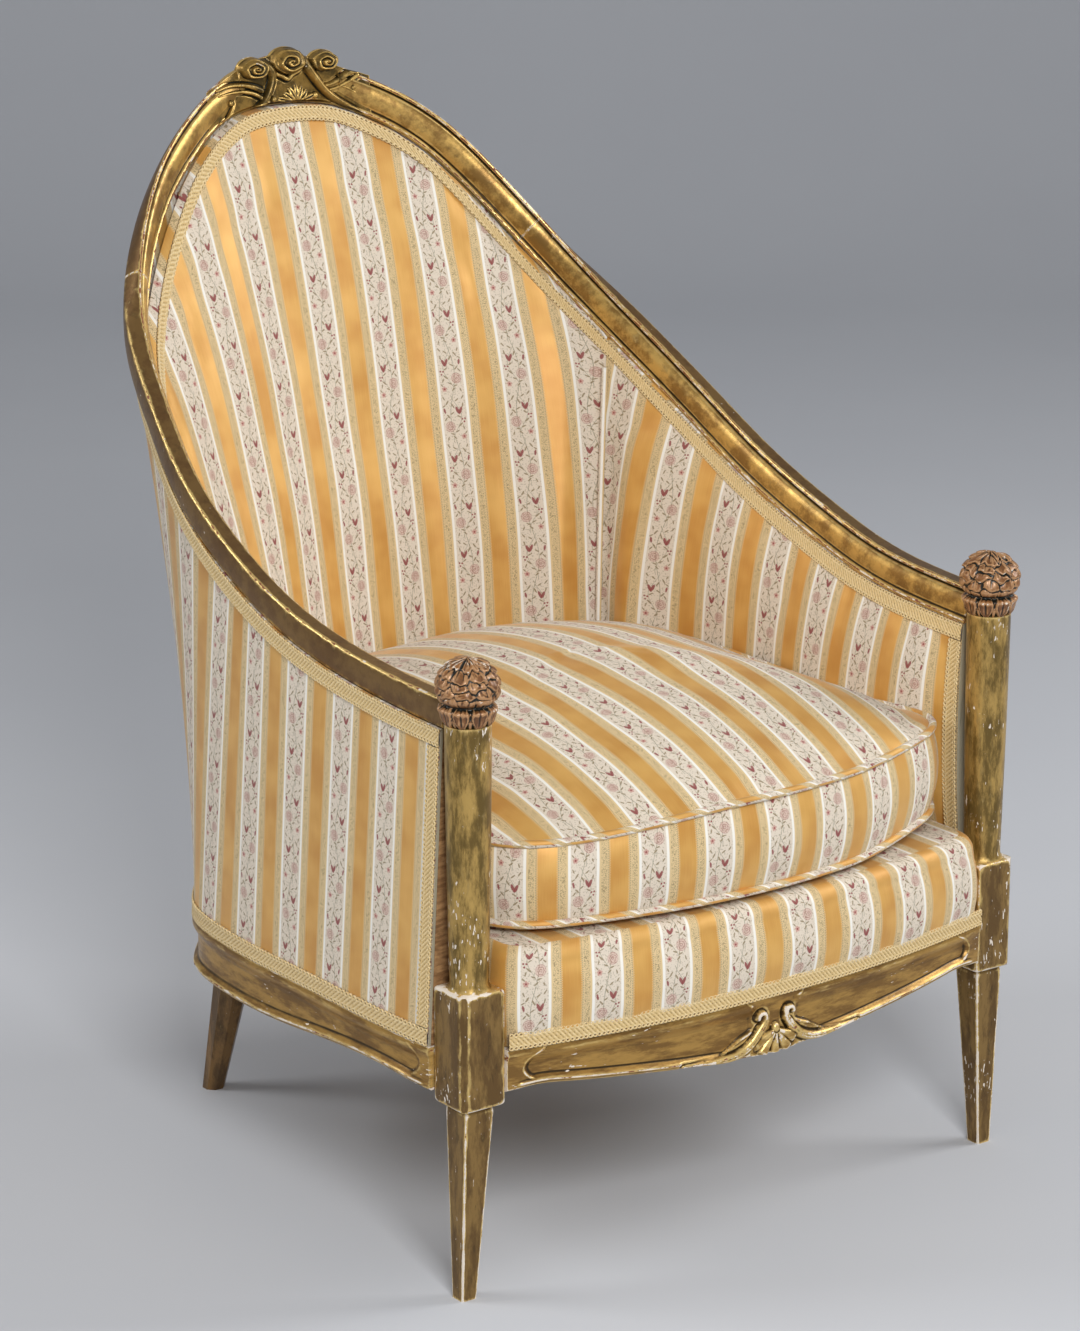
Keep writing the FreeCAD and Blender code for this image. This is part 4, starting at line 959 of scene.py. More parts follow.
class Finishes:
    """All materials of the chair, made once."""

    def __init__(self) -> None:
        """Make every finish."""
        self.rail = GiltFinish("gilt_rail").make()
        self.carving = GiltFinish(
            "gilt_carving", gold=from_srgb(160, 126, 62), shade=from_srgb(82, 66, 30),
            dirt=from_srgb(26, 27, 15), rubbed=from_srgb(218, 182, 106), clay_reach=0.74, grime=0.8).make()
        self.seat_rail = GiltFinish(
            "gilt_seat_rail", gold=from_srgb(184, 144, 76), shade=from_srgb(132, 98, 50),
            dirt=from_srgb(66, 50, 26), streaks=(0.5, 0.5, 2.2), chip_reach=0.63, grime=0.25,
            chipping=0.4).make()
        self.post = GiltFinish(
            "gilt_post", gold=from_srgb(190, 156, 88), shade=from_srgb(112, 90, 44), streaks=(2.2, 2.2, 0.6),
            chip_reach=0.60, grime=0.6, flaking=0.81, chipping=0.42).make()
        self.leg = GiltFinish(
            "gilt_leg", gold=from_srgb(140, 106, 62), shade=from_srgb(96, 72, 42), streaks=(2.2, 2.2, 0.5),
            chip_reach=0.60, metal=0.3, chipping=0.45).make()
        self.finial = GiltFinish(
            "gilt_finial", gold=from_srgb(146, 98, 56), shade=from_srgb(104, 66, 36),
            dirt=from_srgb(20, 22, 16), rubbed=from_srgb(178, 134, 92), metal=0.15, clay_reach=0.86).make()
        self.silk = StripedSilk("striped_silk").make()
        self.braid = BraidFinish("silk_braid").make()
        self.beech = GrainFinish("bare_beech").make()
        self.jute = WovenFinish("jute_webbing", from_srgb(170, 138, 96), from_srgb(92, 68, 42), 2.4).make()
        self.hessian = WovenFinish("hessian_cloth", from_srgb(176, 150, 108), from_srgb(104, 82, 52),
                                   1.5).make()
        self.steel = SteelFinish("old_steel").make()


# The lines of the chair


@dataclass
class Slices:
    """Upright slices of the wall at many places, each from the seat rail to the arm or crest rail."""

    place: Array
    foot: Array
    head: Array
    flat_in: Array
    up: Array
    inward: Array
    rail_in: Array
    rail_up: Array
    rail_height: Array
    face_slope: Array
    outer_height: Array
    back_fall: Array

    @staticmethod
    def _spread(origin: Array, first: Array, a: Array | float, second: Array, b: Array | float) -> Array:
        """Origin plus two directions times two sets of lengths, as a grid of points."""
        a = np.asarray(a, float)
        b = np.asarray(b, float)
        a = a[:, None] if a.ndim == 1 and len(a) == len(origin) else a
        b = b[:, None] if b.ndim == 1 and len(b) == len(origin) else b
        a, b = np.broadcast_arrays(np.atleast_2d(a), np.atleast_2d(b))
        return origin[:, None] + first[:, None] * a[..., None] + second[:, None] * b[..., None]

    def wall(self, inward: Array | float, rise: Array | float) -> Array:
        """Points of the wall: inward from its outside, and up from the seat rail's top."""
        return self._spread(self.foot, self.inward, inward, self.up, rise)

    def rail(self, inward: Array | float, rise: Array | float) -> Array:
        """Points of the rail's section: inward and up from its outer top edge."""
        return self._spread(self.head, self.rail_in, inward, self.rail_up, rise)

    def level(self, inward: Array | float, height: Array) -> Array:
        """Points inside the seat rail's outer face, at heights above the floor."""
        floor = self.foot * np.array([1.0, 1.0, 0.0])
        upright = np.broadcast_to(np.array([0.0, 0.0, 1.0]), floor.shape)
        return self._spread(floor, self.flat_in, inward, upright, height)

    def seated(self, inward: float, height: float) -> Array:
        """Rise at which a line up the wall is at a height above the seat rail's top."""
        return (height - self.inward[:, 2] * inward) / self.up[:, 2]


@dataclass
class ChairLines:
    """Rail and seat lines that the whole chair is built on, from the named sizes of the frame."""

    depth: float = 0.842
    crest: float = 0.998
    seat_half: float = 0.3365
    rail_inset: float = 0.0075
    seat_top: float = 0.239
    seat_height: float = 0.051
    seat_thickness: float = 0.030
    back_rake: float = 0.190
    post_inset: float = 0.0325
    post_setback: float = 0.074
    block_side: float = 0.046
    rail_end: float = 0.019
    arm_front: float = 0.561
    arm_height: float = 0.034
    arm_outer_height: float = 0.027
    crest_height: float = 0.038
    rail_width: float = 0.016
    arm_slope: float = 0.010
    crest_slope: float = 0.003
    crest_fall: float = 0.018
    front_bow: float = 0.033
    front_setback: float = 0.049
    gap: float = 0.0003
    lining: float = 0.0005
    lean: float = 0.058
    rail_x: tuple[float, ...] = (
        0.0, 0.2243, 0.3936, 0.563, 0.710, 0.829, 0.924, 0.974, 0.993, 0.996, 0.977, 0.967, 0.9635)
    rail_y: tuple[float, ...] = (
        1.0, 0.9907, 0.958, 0.919, 0.8665, 0.793, 0.6675, 0.5634, 0.439, 0.3138, 0.1816, 0.0587, 0)
    rail_z: tuple[float, ...] = (
        1.0, 0.982, 0.929, 0.833, 0.700, 0.556, 0.389, 0.270, 0.1556, 0.0755, 0.024, 0.0046, 0)
    seat_x: tuple[float, ...] = (
        0.0, 0.208, 0.3596, 0.523, 0.6746, 0.7905, 0.903, 0.966, 0.9985, 1.0, 1.0, 0.995, 0.985)
    seat_y: tuple[float, ...] = (
        1.0, 0.9957, 0.9836, 0.9578, 0.9167, 0.867, 0.788, 0.708, 0.537, 0.389, 0.2306, 0.072, 0)

    def __post_init__(self) -> None:
        """Lay the two lines through their points, on one shared parameter."""
        self.post_x = self.seat_half - self.post_inset
        self.post_y = self.post_setback - self.depth / 2
        self.post_face = self.post_x - self.block_side / 2
        self.seat_front = self.post_y + self.block_side / 2 + self.gap
        self.seat_back = self.depth / 2 - self.back_rake
        rail = self._mirrored((self.seat_half - self.rail_inset) * np.array(self.rail_x),
                              between(self.post_y + self.rail_end, self.depth / 2, np.array(self.rail_y)),
                              between(self.arm_front, self.crest, np.array(self.rail_z)))
        seat = self._mirrored(self.seat_half * np.array(self.seat_x),
                              between(self.seat_front, self.seat_back, np.array(self.seat_y)),
                              np.full(len(self.seat_x), self.seat_top))
        self.length = float(np.linalg.norm(np.diff(rail, axis=0), axis=1).sum())
        stops = travelled(rail) / self.length
        self.middle = float(stops[len(self.rail_x) - 1])
        self.rail_line = Spline(rail, stops)
        self.seat_line = Spline(seat, stops)
        self.rows = stops[len(self.rail_x) - 1:] - self.middle
        self.front = float(self.rows[-1])
        self.crest_place = self.row(3)
        self.arm_place = self.row(6)
        self.joint = self.row(4.5)
        self.seam = self.row(5)
        self.leg = self.row(4)
        self.wall_front = self.front - 2 * MM / self.length
        self.fine_stops = np.linspace(0, 1, 4001)
        self.fine_points = self.rail_line.at(self.fine_stops)[0]

    @staticmethod
    def _mirrored(x: Array, y: Array, z: Array) -> Array:
        """Points from the left front round the back to the right front."""
        right = np.stack([x, y, z], 1)
        return np.concatenate([right[:0:-1] * np.array([-1.0, 1.0, 1.0]), right])

    def row(self, row: float) -> float:
        """Place of a row: its distance from the middle of the path, as a share of the path."""
        return float(np.interp(row, np.arange(len(self.rows)), self.rows))

    def share(self, length: float) -> float:
        """Share of the path that a length along the rail takes."""
        return length / self.length

    def slices(self, place: Array, leaning: bool = False) -> Slices:
        """Slices at places of the path, their feet set back and their heads set forward if they lean.

        Args:
            place: Places along the path, 0 at the middle of the back.
            leaning: Whether the slices follow the wall's lean at the seams.

        Returns:
            The slices.
        """
        place = np.asarray(place, float)
        distance = np.abs(place)
        rising = ease(distance / self.seam)
        falling = ease((self.front - distance) / (self.front - self.seam))
        most = self.share(self.lean) * np.sign(place) * leaning
        lean = np.where(distance < self.seam, rising, falling) * most
        foot, foot_run = self.seat_line.at(np.clip(self.middle + place - lean, 0, 1))
        head, head_run = self.rail_line.at(np.clip(self.middle + place + lean, 0, 1))
        flat_run = unit(foot_run * (1, 1, 0)) + unit(head_run * (1, 1, 0))
        level_in = unit(np.stack([flat_run[:, 1], -flat_run[:, 0], 0 * place], 1))
        up = unit(head - foot)
        inward = unit(level_in - up * (level_in * up).sum(1, keepdims=True))
        head_run = unit(head_run)
        foot_run = unit(foot_run)
        rail_in = unit(np.stack([head_run[:, 1], -head_run[:, 0], 0 * place], 1))
        flat_in = np.stack([foot_run[:, 1], -foot_run[:, 0], 0 * place], 1)
        crest = ease((self.arm_place - distance) / (self.arm_place - self.crest_place))
        return Slices(place, foot, head, flat_in, up, inward, rail_in, unit(np.cross(rail_in, head_run)),
                      between(self.arm_height, self.crest_height, crest),
                      between(self.arm_slope, self.crest_slope, crest),
                      between(self.arm_outer_height, self.crest_height, crest), self.crest_fall * crest)

    def under_rail(self, slices: Slices, inward: float | Array, steps: int = 5) -> Array:
        """Rise at which lines up the wall come just under the rail, found in a few steps.

        Each step moves the point by its height over the rail's underside at its nearest place.

        Args:
            slices: Slices of the wall.
            inward: How far inside the wall the lines run.
            steps: How many steps are taken.

        Returns:
            Rise on each slice.
        """
        inward = np.broadcast_to(np.asarray(inward, float), slices.place.shape)
        rise = np.linalg.norm(slices.head - slices.foot, axis=1) - slices.rail_height
        for _ in range(steps):
            point = slices.foot + slices.inward * inward[:, None] + slices.up * rise[:, None]
            nearest = np.linalg.norm(point[:, None] - self.fine_points[None], axis=2).argmin(1)
            near = self.slices(self.fine_stops[nearest] - self.middle)
            depth = ((point - near.head) * near.rail_in).sum(1) / (self.rail_width + near.face_slope)
            underside = between(near.outer_height, near.rail_height, np.clip(depth, 0, 1))
            height = ((point - near.head) * near.rail_up).sum(1) + underside + self.lining
            rise = rise - height / (slices.up * near.rail_up).sum(1)
        return rise

    def stations(self, low: float, high: float, step: float = 4 * MM) -> Array:
        """Evenly spaced places from low to high, about a step apart."""
        count = max(3, int(round((high - low) * self.length / step)) + 1)
        return np.linspace(low, high, count)

    def front_face(self, x: Array) -> Array:
        """Outer face of the bowed front rail: a parabola between the two posts."""
        end = self.post_face - self.gap
        return self.front_setback - self.depth / 2 - self.front_bow * (1 - (x / end) ** 2)


# Show wood


@dataclass
class ShowRails:
    """Moulded arm rails and crest rail: a fillet, a groove, a wide band, a groove and a bead."""

    lines: ChairLines
    finishes: Finishes
    band: float = 3.4 * MM
    groove: float = 2.2 * MM
    bead: float = 1.5 * MM
    face_count: int = 64
    top_count: int = 12
    crack: float = 1.6 * MM

    def _relief(self, share: Array) -> Array:
        """How far the moulded face stands proud at a share from its top edge to its foot."""
        swell = np.clip((share - 0.16) / 0.62, 0, 1)
        hump = np.sin(math.pi * swell**0.8) ** 0.8
        return (self.band * hump - self.groove * (bell(share - 0.145, 0.022) + bell(share - 0.80, 0.020))
                + self.bead * bell(share - 0.90, 0.055) + 0.5 * self.bead * bell(share - 0.07, 0.045))

    def _section(self, slices: Slices) -> Array:
        """Closed sections of the rail at slices, with every corner eased."""
        lines = self.lines
        share = np.linspace(0, 1, self.face_count)[None]
        height, slope = slices.rail_height[:, None], slices.face_slope[:, None]
        length = np.hypot(height, slope)
        proud = self._relief(share)
        face_in = lines.rail_width + slope * share + proud * height / length
        face_up = -height * share + proud * slope / length
        top_share = np.linspace(0, 1, self.top_count)[None, :-1]
        fall, outer = slices.back_fall[:, None], slices.outer_height[:, None]
        top_in = lines.rail_width * top_share + 0 * fall
        top_up = -fall * (1 - top_share) ** 1.5
        under_share = np.linspace(0, 1, 10)[None, 1:]
        under_in = (lines.rail_width + slope) * (1 - under_share)
        under_up = between(-height, -outer, under_share)
        side_share = np.linspace(0, 1, 14)[None, 1:-1]
        side_in = 0 * fall + 0 * side_share - 0.8 * MM * np.sin(math.pi * side_share)
        side_up = between(-outer, -fall, side_share)
        inward = np.concatenate([top_in, face_in, under_in, side_in], 1)
        rise = np.concatenate([top_up, face_up, under_up, side_up], 1)
        for _ in range(2):
            inward = 0.5 * inward + 0.25 * (np.roll(inward, 1, 1) + np.roll(inward, -1, 1))
            rise = 0.5 * rise + 0.25 * (np.roll(rise, 1, 1) + np.roll(rise, -1, 1))
        return slices.rail(inward, rise)

    def _rail(self, name: str, low: float, high: float) -> None:
        """One length of rail, with end grain and the white filler beside its joints."""
        slices = self.lines.slices(self.lines.stations(low, high, 2.5 * MM))
        points = closed_ring(self._section(slices))
        near_joint = np.abs(np.abs(slices.place) - self.lines.joint) * self.lines.length
        crack = (near_joint < self.crack).astype(float)[:, None]
        column = np.arange(points.shape[1])
        brown = ((column <= self.top_count) | (column > self.top_count - 2 + self.face_count)).astype(float)
        values = {"crack": np.broadcast_to(crack, points.shape[:2]),
                  "brown": np.broadcast_to(brown, points.shape[:2])}
        make_piece(name, [Patch(points, values=values), cap(points[0]), cap(points[-1])],
                   self.finishes.rail, Slot.GILTWOOD, replaces=[name], worn=3.5 * MM)

    def build(self) -> None:
        """Build the crest rail and both arm rails."""
        lines = self.lines
        gap = lines.share(lines.gap)
        self._rail("crest_rail", -lines.joint, lines.joint)
        self._rail("arm_rail_right", lines.joint + gap, lines.front)
        self._rail("arm_rail_left", -lines.front, -lines.joint - gap)


@dataclass
class CrestCarving:
    """Carved cresting: three roses, two scrolls, a fan of leaves and trailing stems on the crest rail."""

    lines: ChairLines
    finishes: Finishes
    half_width: float = 0.098
    thickness: float = 0.013
    ground: float = 1.0 * MM
    forward: float = 5.0 * MM
    left_scroll: tuple[tuple[float, float], ...] = (
        (-31, 1009), (-20, 1002), (-14, 991), (-17, 979), (-24, 968), (-34, 959), (-50, 951), (-68, 942),
        (-90, 927))
    right_scroll: tuple[tuple[float, float], ...] = (
        (27, 1014), (26, 1003), (35, 987), (46, 973), (62, 960), (80, 949), (98, 935))
    stems: tuple[tuple[tuple[tuple[float, float], ...], tuple[float, float], float], ...] = (
        (((50, 976), (62, 979), (74, 985), (88, 989)), (2.0, 3.8), 3.6),
        (((50, 971), (64, 973), (76, 978), (86, 983)), (1.4, 2.4), 2.8),
        (((-84, 982), (-66, 985), (-48, 984), (-28, 977)), (1.4, 3.0), 3.2),
        (((-82, 976), (-64, 978), (-46, 977), (-29, 970)), (1.2, 2.4), 2.8),
        (((-62, 970), (-66, 960), (-74, 951), (-86, 942)), (1.2, 1.6), 2.6),
        (((66, 974), (76, 970), (86, 963), (97, 953)), (1.2, 1.8), 2.6),
        (((-13, 999), (-9, 992), (-2, 989), (4, 986), (10, 990), (17, 993), (22, 1000)), (2.4, 2.4), 3.4))
    fan: tuple[tuple[float, float], ...] = (
        (-74, 24), (-50, 19), (-25, 20), (0, 21), (25, 20), (50, 20), (74, 27))
    fan_root: tuple[float, float] = (13, 961)
    berries: tuple[tuple[float, float], ...] = (
        (-66, 968), (-80, 948), (80, 971), (91, 960), (-14, 967), (36, 967))
    roses: tuple[tuple[tuple[float, float], tuple[float, float], float], ...] = (
        ((6, 1004), (20, 13.5), 0.4), ((-36, 999.5), (16.5, 10.5), 2.2), ((49, 1000.5), (15.5, 10.5), 1.0))
    rose_tops: tuple[tuple[float, ...], ...] = (
        (0.006, 1.0035, 0.0205, 0.0140), (0.049, 1.0005, 0.0160, 0.0110), (-0.036, 0.9995, 0.0170, 0.0110))

    def _outline(self, x: Array) -> Array:
        """Height of the cresting's silhouette: the highest of the rail's edge, the mound and the roses."""
        slices = self.lines.slices(np.linspace(0, self.lines.crest_place, 60))
        rail = np.interp(np.abs(x), slices.head[:, 0], slices.head[:, 2])
        mound = rail + 0.0125 * np.cos(np.clip(np.abs(x) / 0.078, 0, 1) * math.pi / 2) ** 1.4
        top = np.maximum(rail, mound)
        for centre, height, width, rise in self.rose_tops:
            reach = np.clip(1 - ((x - centre) / width) ** 2, 0, None)
            top = np.where(reach > 0, np.maximum(top, height + rise * np.sqrt(reach)), top)
        return top

    @staticmethod
    def _rose(x: Array, z: Array, centre: tuple[float, float], radii: tuple[float, float],
              turn: float) -> Array:
        """Rose in millimetres: a dome cut by a spiral groove, with a lobed rim."""
        u, v = (x - centre[0]) / radii[0], (z - centre[1]) / radii[1]
        angle = np.arctan2(v, u) + turn
        reach = np.hypot(u, v) / (1 + 0.035 * np.cos(5 * angle))
        dome = np.sqrt(np.clip(1 - reach**2, 0, None))
        spiral = np.cos(2 * math.pi * (2.6 * reach**0.9 - angle / (2 * math.pi)))
        height = 4.2 + 4.8 * dome + 1.5 * spiral * np.clip(1.35 - reach, 0, 1)
        height = np.where(reach < 0.16, height + 1.2, height)
        return np.where(reach < 1, height * ease((1 - reach) / 0.10), 0)

    @staticmethod
    def _ribbon(x: Array, z: Array, line: Sequence[tuple[float, float]], widths: tuple[float, float],
                height: float) -> Array:
        """Round ridge along a smooth line, with its width changing from end to end and a cut beside it."""
        distance, share = near_line(x, z, curved(line))
        width = between(widths[0], widths[1], share)
        body = np.sqrt(np.clip(1 - (distance / width) ** 2, 0, None)) * height
        return np.where(distance < width, body, -1.1 * bell(distance - width - 0.9, 1.1))

    @staticmethod
    def _leaf(x: Array, z: Array, root: tuple[float, float], turn: float, length: float, width: float,
              height: float) -> Array:
        """Pointed leaf: width falls to nothing at both ends, with a groove down its middle."""
        angle = math.radians(turn)
        along = ((x - root[0]) * math.sin(angle) + (z - root[1]) * math.cos(angle)) / length
        side = ((x - root[0]) * math.cos(angle) - (z - root[1]) * math.sin(angle)) / width
        half = np.clip(np.sin(math.pi * np.clip(along, 0, 1) ** 0.8), 0, None)
        inside = np.clip(half - np.abs(side), 0, None)
        return np.where((along > 0) & (along < 1), height * np.sqrt(np.clip(inside, 0, 1))
                        - 0.5 * height * bell(side, 0.22) * (inside > 0), 0)

    def _relief(self, x: Array, z: Array) -> Array:
        """Relief in millimetres at places in millimetres: the highest of all carved forms."""
        height = np.zeros_like(x)
        cut = np.zeros_like(x)
        forms = [self._ribbon(x, z, self.left_scroll, (4.8, 2.2), 5.2),
                 self._ribbon(x, z, self.right_scroll, (5.6, 2.4), 5.6)]
        forms += [self._ribbon(x, z, *stem) for stem in self.stems]
        for form in forms:
            height = np.maximum(height, form)
            cut = np.minimum(cut, form)
        for turn, length in self.fan:
            height = np.maximum(height, self._leaf(x, z, self.fan_root, turn, length, 4.8, 4.4))
        for centre in self.berries:
            spread = ((x - centre[0]) ** 2 + (z - centre[1]) ** 2) / 12
            height = np.maximum(height, 3.6 * np.sqrt(np.clip(1 - spread, 0, None)))
        for rose in self.roses:
            height = np.maximum(height, self._rose(x, z, *rose))
        return height + np.where(height < 0.3, cut, 0)

    def build(self) -> None:
        """Build the cresting as one relief, closed by a flat back."""
        lines = self.lines
        x = np.linspace(-self.half_width, self.half_width, 330)[:, None]
        slices = lines.slices(np.linspace(-lines.crest_place * 1.2, lines.crest_place * 1.2, 161))
        inner = slices.rail(lines.rail_width + slices.face_slope, -slices.rail_height * 0.97)[:, 0]
        low = np.interp(x[:, 0], inner[:, 0], inner[:, 2])[:, None]
        face = np.interp(x[:, 0], inner[:, 0], inner[:, 1])[:, None]
        lean = lines.crest_slope / lines.crest_height
        share = np.linspace(0, 1, 110)[None]
        high = self._outline(x)
        z = between(low, high, share)
        relief = self._relief(x / MM + 0 * z, z / MM) * MM * 1.1
        fade = ease((self.half_width - np.abs(x)) / 0.020) * ease((z - low) / (3 * MM))
        edge = ease((high - z) / (1.5 * MM))
        swell = self.forward * ease((self.half_width - np.abs(x)) / 0.080) * ease((z - low) / (4 * MM))
        swell = swell * np.sqrt(ease((high - z) / (13 * MM)))
        y = face + (z - low) * lean - self.ground * fade - swell - relief * fade * edge
        front = np.stack(np.broadcast_arrays(x, y, z), -1)
        back = front.copy()
        body = between(1.5 * MM, self.thickness, ease((0.090 - np.abs(x)) / 0.045))
        thinned = 1 - 0.8 * ease((z - 0.985) / 0.02)
        back[..., 1] = face + (z - low) * lean + body * thinned
        rim = [np.stack([front[:, 0], back[:, 0]]), np.stack([front[:, -1], back[:, -1]]),
               np.stack([front[0], back[0]]), np.stack([front[-1], back[-1]])]
        make_piece("crest_carving", [Patch(front), Patch(back)] + [Patch(edge) for edge in rim],
                   self.finishes.carving, Slot.GILTWOOD, worn=1.1 * MM, crease=55)


@dataclass
class Posts:
    """Front posts: a square tapered leg, a block with a rounded corner and a round column."""

    lines: ChairLines
    finishes: Finishes
    block_top: float = 0.297
    block_height: float = 0.109
    block_corner: float = 0.011
    leg_top: float = 0.031
    leg_neck: float = 0.028
    leg_foot: float = 0.016
    neck: float = 0.007
    splay: float = 0.007
    column_foot: float = 0.0175
    column_top: float = 0.021
    collar: float = 0.541

    @staticmethod
    def _rounded_square(turn: Array, side: Array | float, radius: Array | float) -> Array:
        """Square with rounded corners: the point of a rounded box in each direction of a turn."""
        power = 2.0 + 2.2 * np.asarray(side) / np.asarray(radius)
        cosine, sine = np.cos(turn), np.sin(turn)
        reach = (np.abs(cosine) ** power + np.abs(sine) ** power) ** (-1 / power)
        half = np.asarray(side) / 2 * reach
        return np.stack(np.broadcast_arrays(half * cosine, half * sine), -1)

    def _stack(self, centres: Array, outlines: Array, brown: float = 0.0) -> list[Patch]:
        """Closed form through level outlines, each about its own centre, browned by a share."""
        points = np.concatenate([outlines + centres[:, None, :2],
                                 np.broadcast_to(centres[:, None, 2:], outlines.shape[:2] + (1,))], -1)
        patches = [Patch(points), cap(points[0]), cap(points[-1])]
        for patch in patches:
            patch.values["brown"] = np.full(patch.points.shape[:2], brown)
        return patches

    def _post(self, side: int, name: str) -> None:
        """One front post, on the right for 1 and on the left for -1."""
        lines = self.lines
        x, y = side * lines.post_x, lines.post_y
        turn = np.linspace(0, 2 * math.pi, 97)[None]
        bottom = self.block_top - self.block_height
        share = np.linspace(0, 1, 70)
        height = share * (bottom - self.neck)
        size = between(self.leg_foot, self.leg_top, share)
        neck_share = np.linspace(0.1, 1, 6)
        height = np.concatenate([height, bottom - self.neck * (1 - neck_share)])
        size = np.concatenate([size, between(self.leg_top, self.leg_neck, ease(neck_share))])
        lean = side * self.splay * np.clip(1 - height / (bottom - self.neck), 0, 1)
        centres = np.stack([x + lean, y + 0 * height, height], 1)
        patches = self._stack(centres, self._rounded_square(turn, size[:, None], 0.003), 0.75)
        rise = [0, 0.6, 1.6, 3.2, *np.linspace(6, 103, 36), 105.8, 107.4, 108.4, 109.0]
        rise = np.array(rise) * MM
        inset = np.array([1.6, 0.8, 0.25, 0] + [0] * 36 + [0, 0.25, 0.8, 1.6]) * MM
        block = self._rounded_square(turn, (lines.block_side - 2 * inset)[:, None], 0.0055)
        corner = np.array([side * 1.0, -1.0]) / math.sqrt(2)
        away = (block * corner).sum(-1)
        limit = lines.block_side / 2 * math.sqrt(2) - self.block_corner * (math.sqrt(2) - 1)
        block = block - np.clip(away - limit, 0, None)[..., None] * corner
        patches += self._stack(np.stack([x + 0 * rise, y + 0 * rise, bottom + rise], 1), block, 0.75)
        share = np.linspace(0, 1, 90)
        height = between(self.block_top - 1 * MM, self.collar + 1 * MM, share)
        radius = between(self.column_foot, self.column_top, share) + 0.5 * MM * np.sin(math.pi * share)
        flare = 2.6 * MM * bell((height - self.block_top) / MM, 3.2)
        ring = np.stack([np.cos(turn), np.sin(turn)], -1)
        patches += self._stack(np.stack([x + 0 * height, y + 0 * height, height], 1),
                               (radius + flare)[:, None, None] * ring)
        make_piece(name, patches, self.finishes.post, Slot.GILTWOOD, replaces=[name], worn=4 * MM)

    def build(self) -> None:
        """Build both posts."""
        for side, word in SIDES:
            self._post(side, f"front_post_{word}")


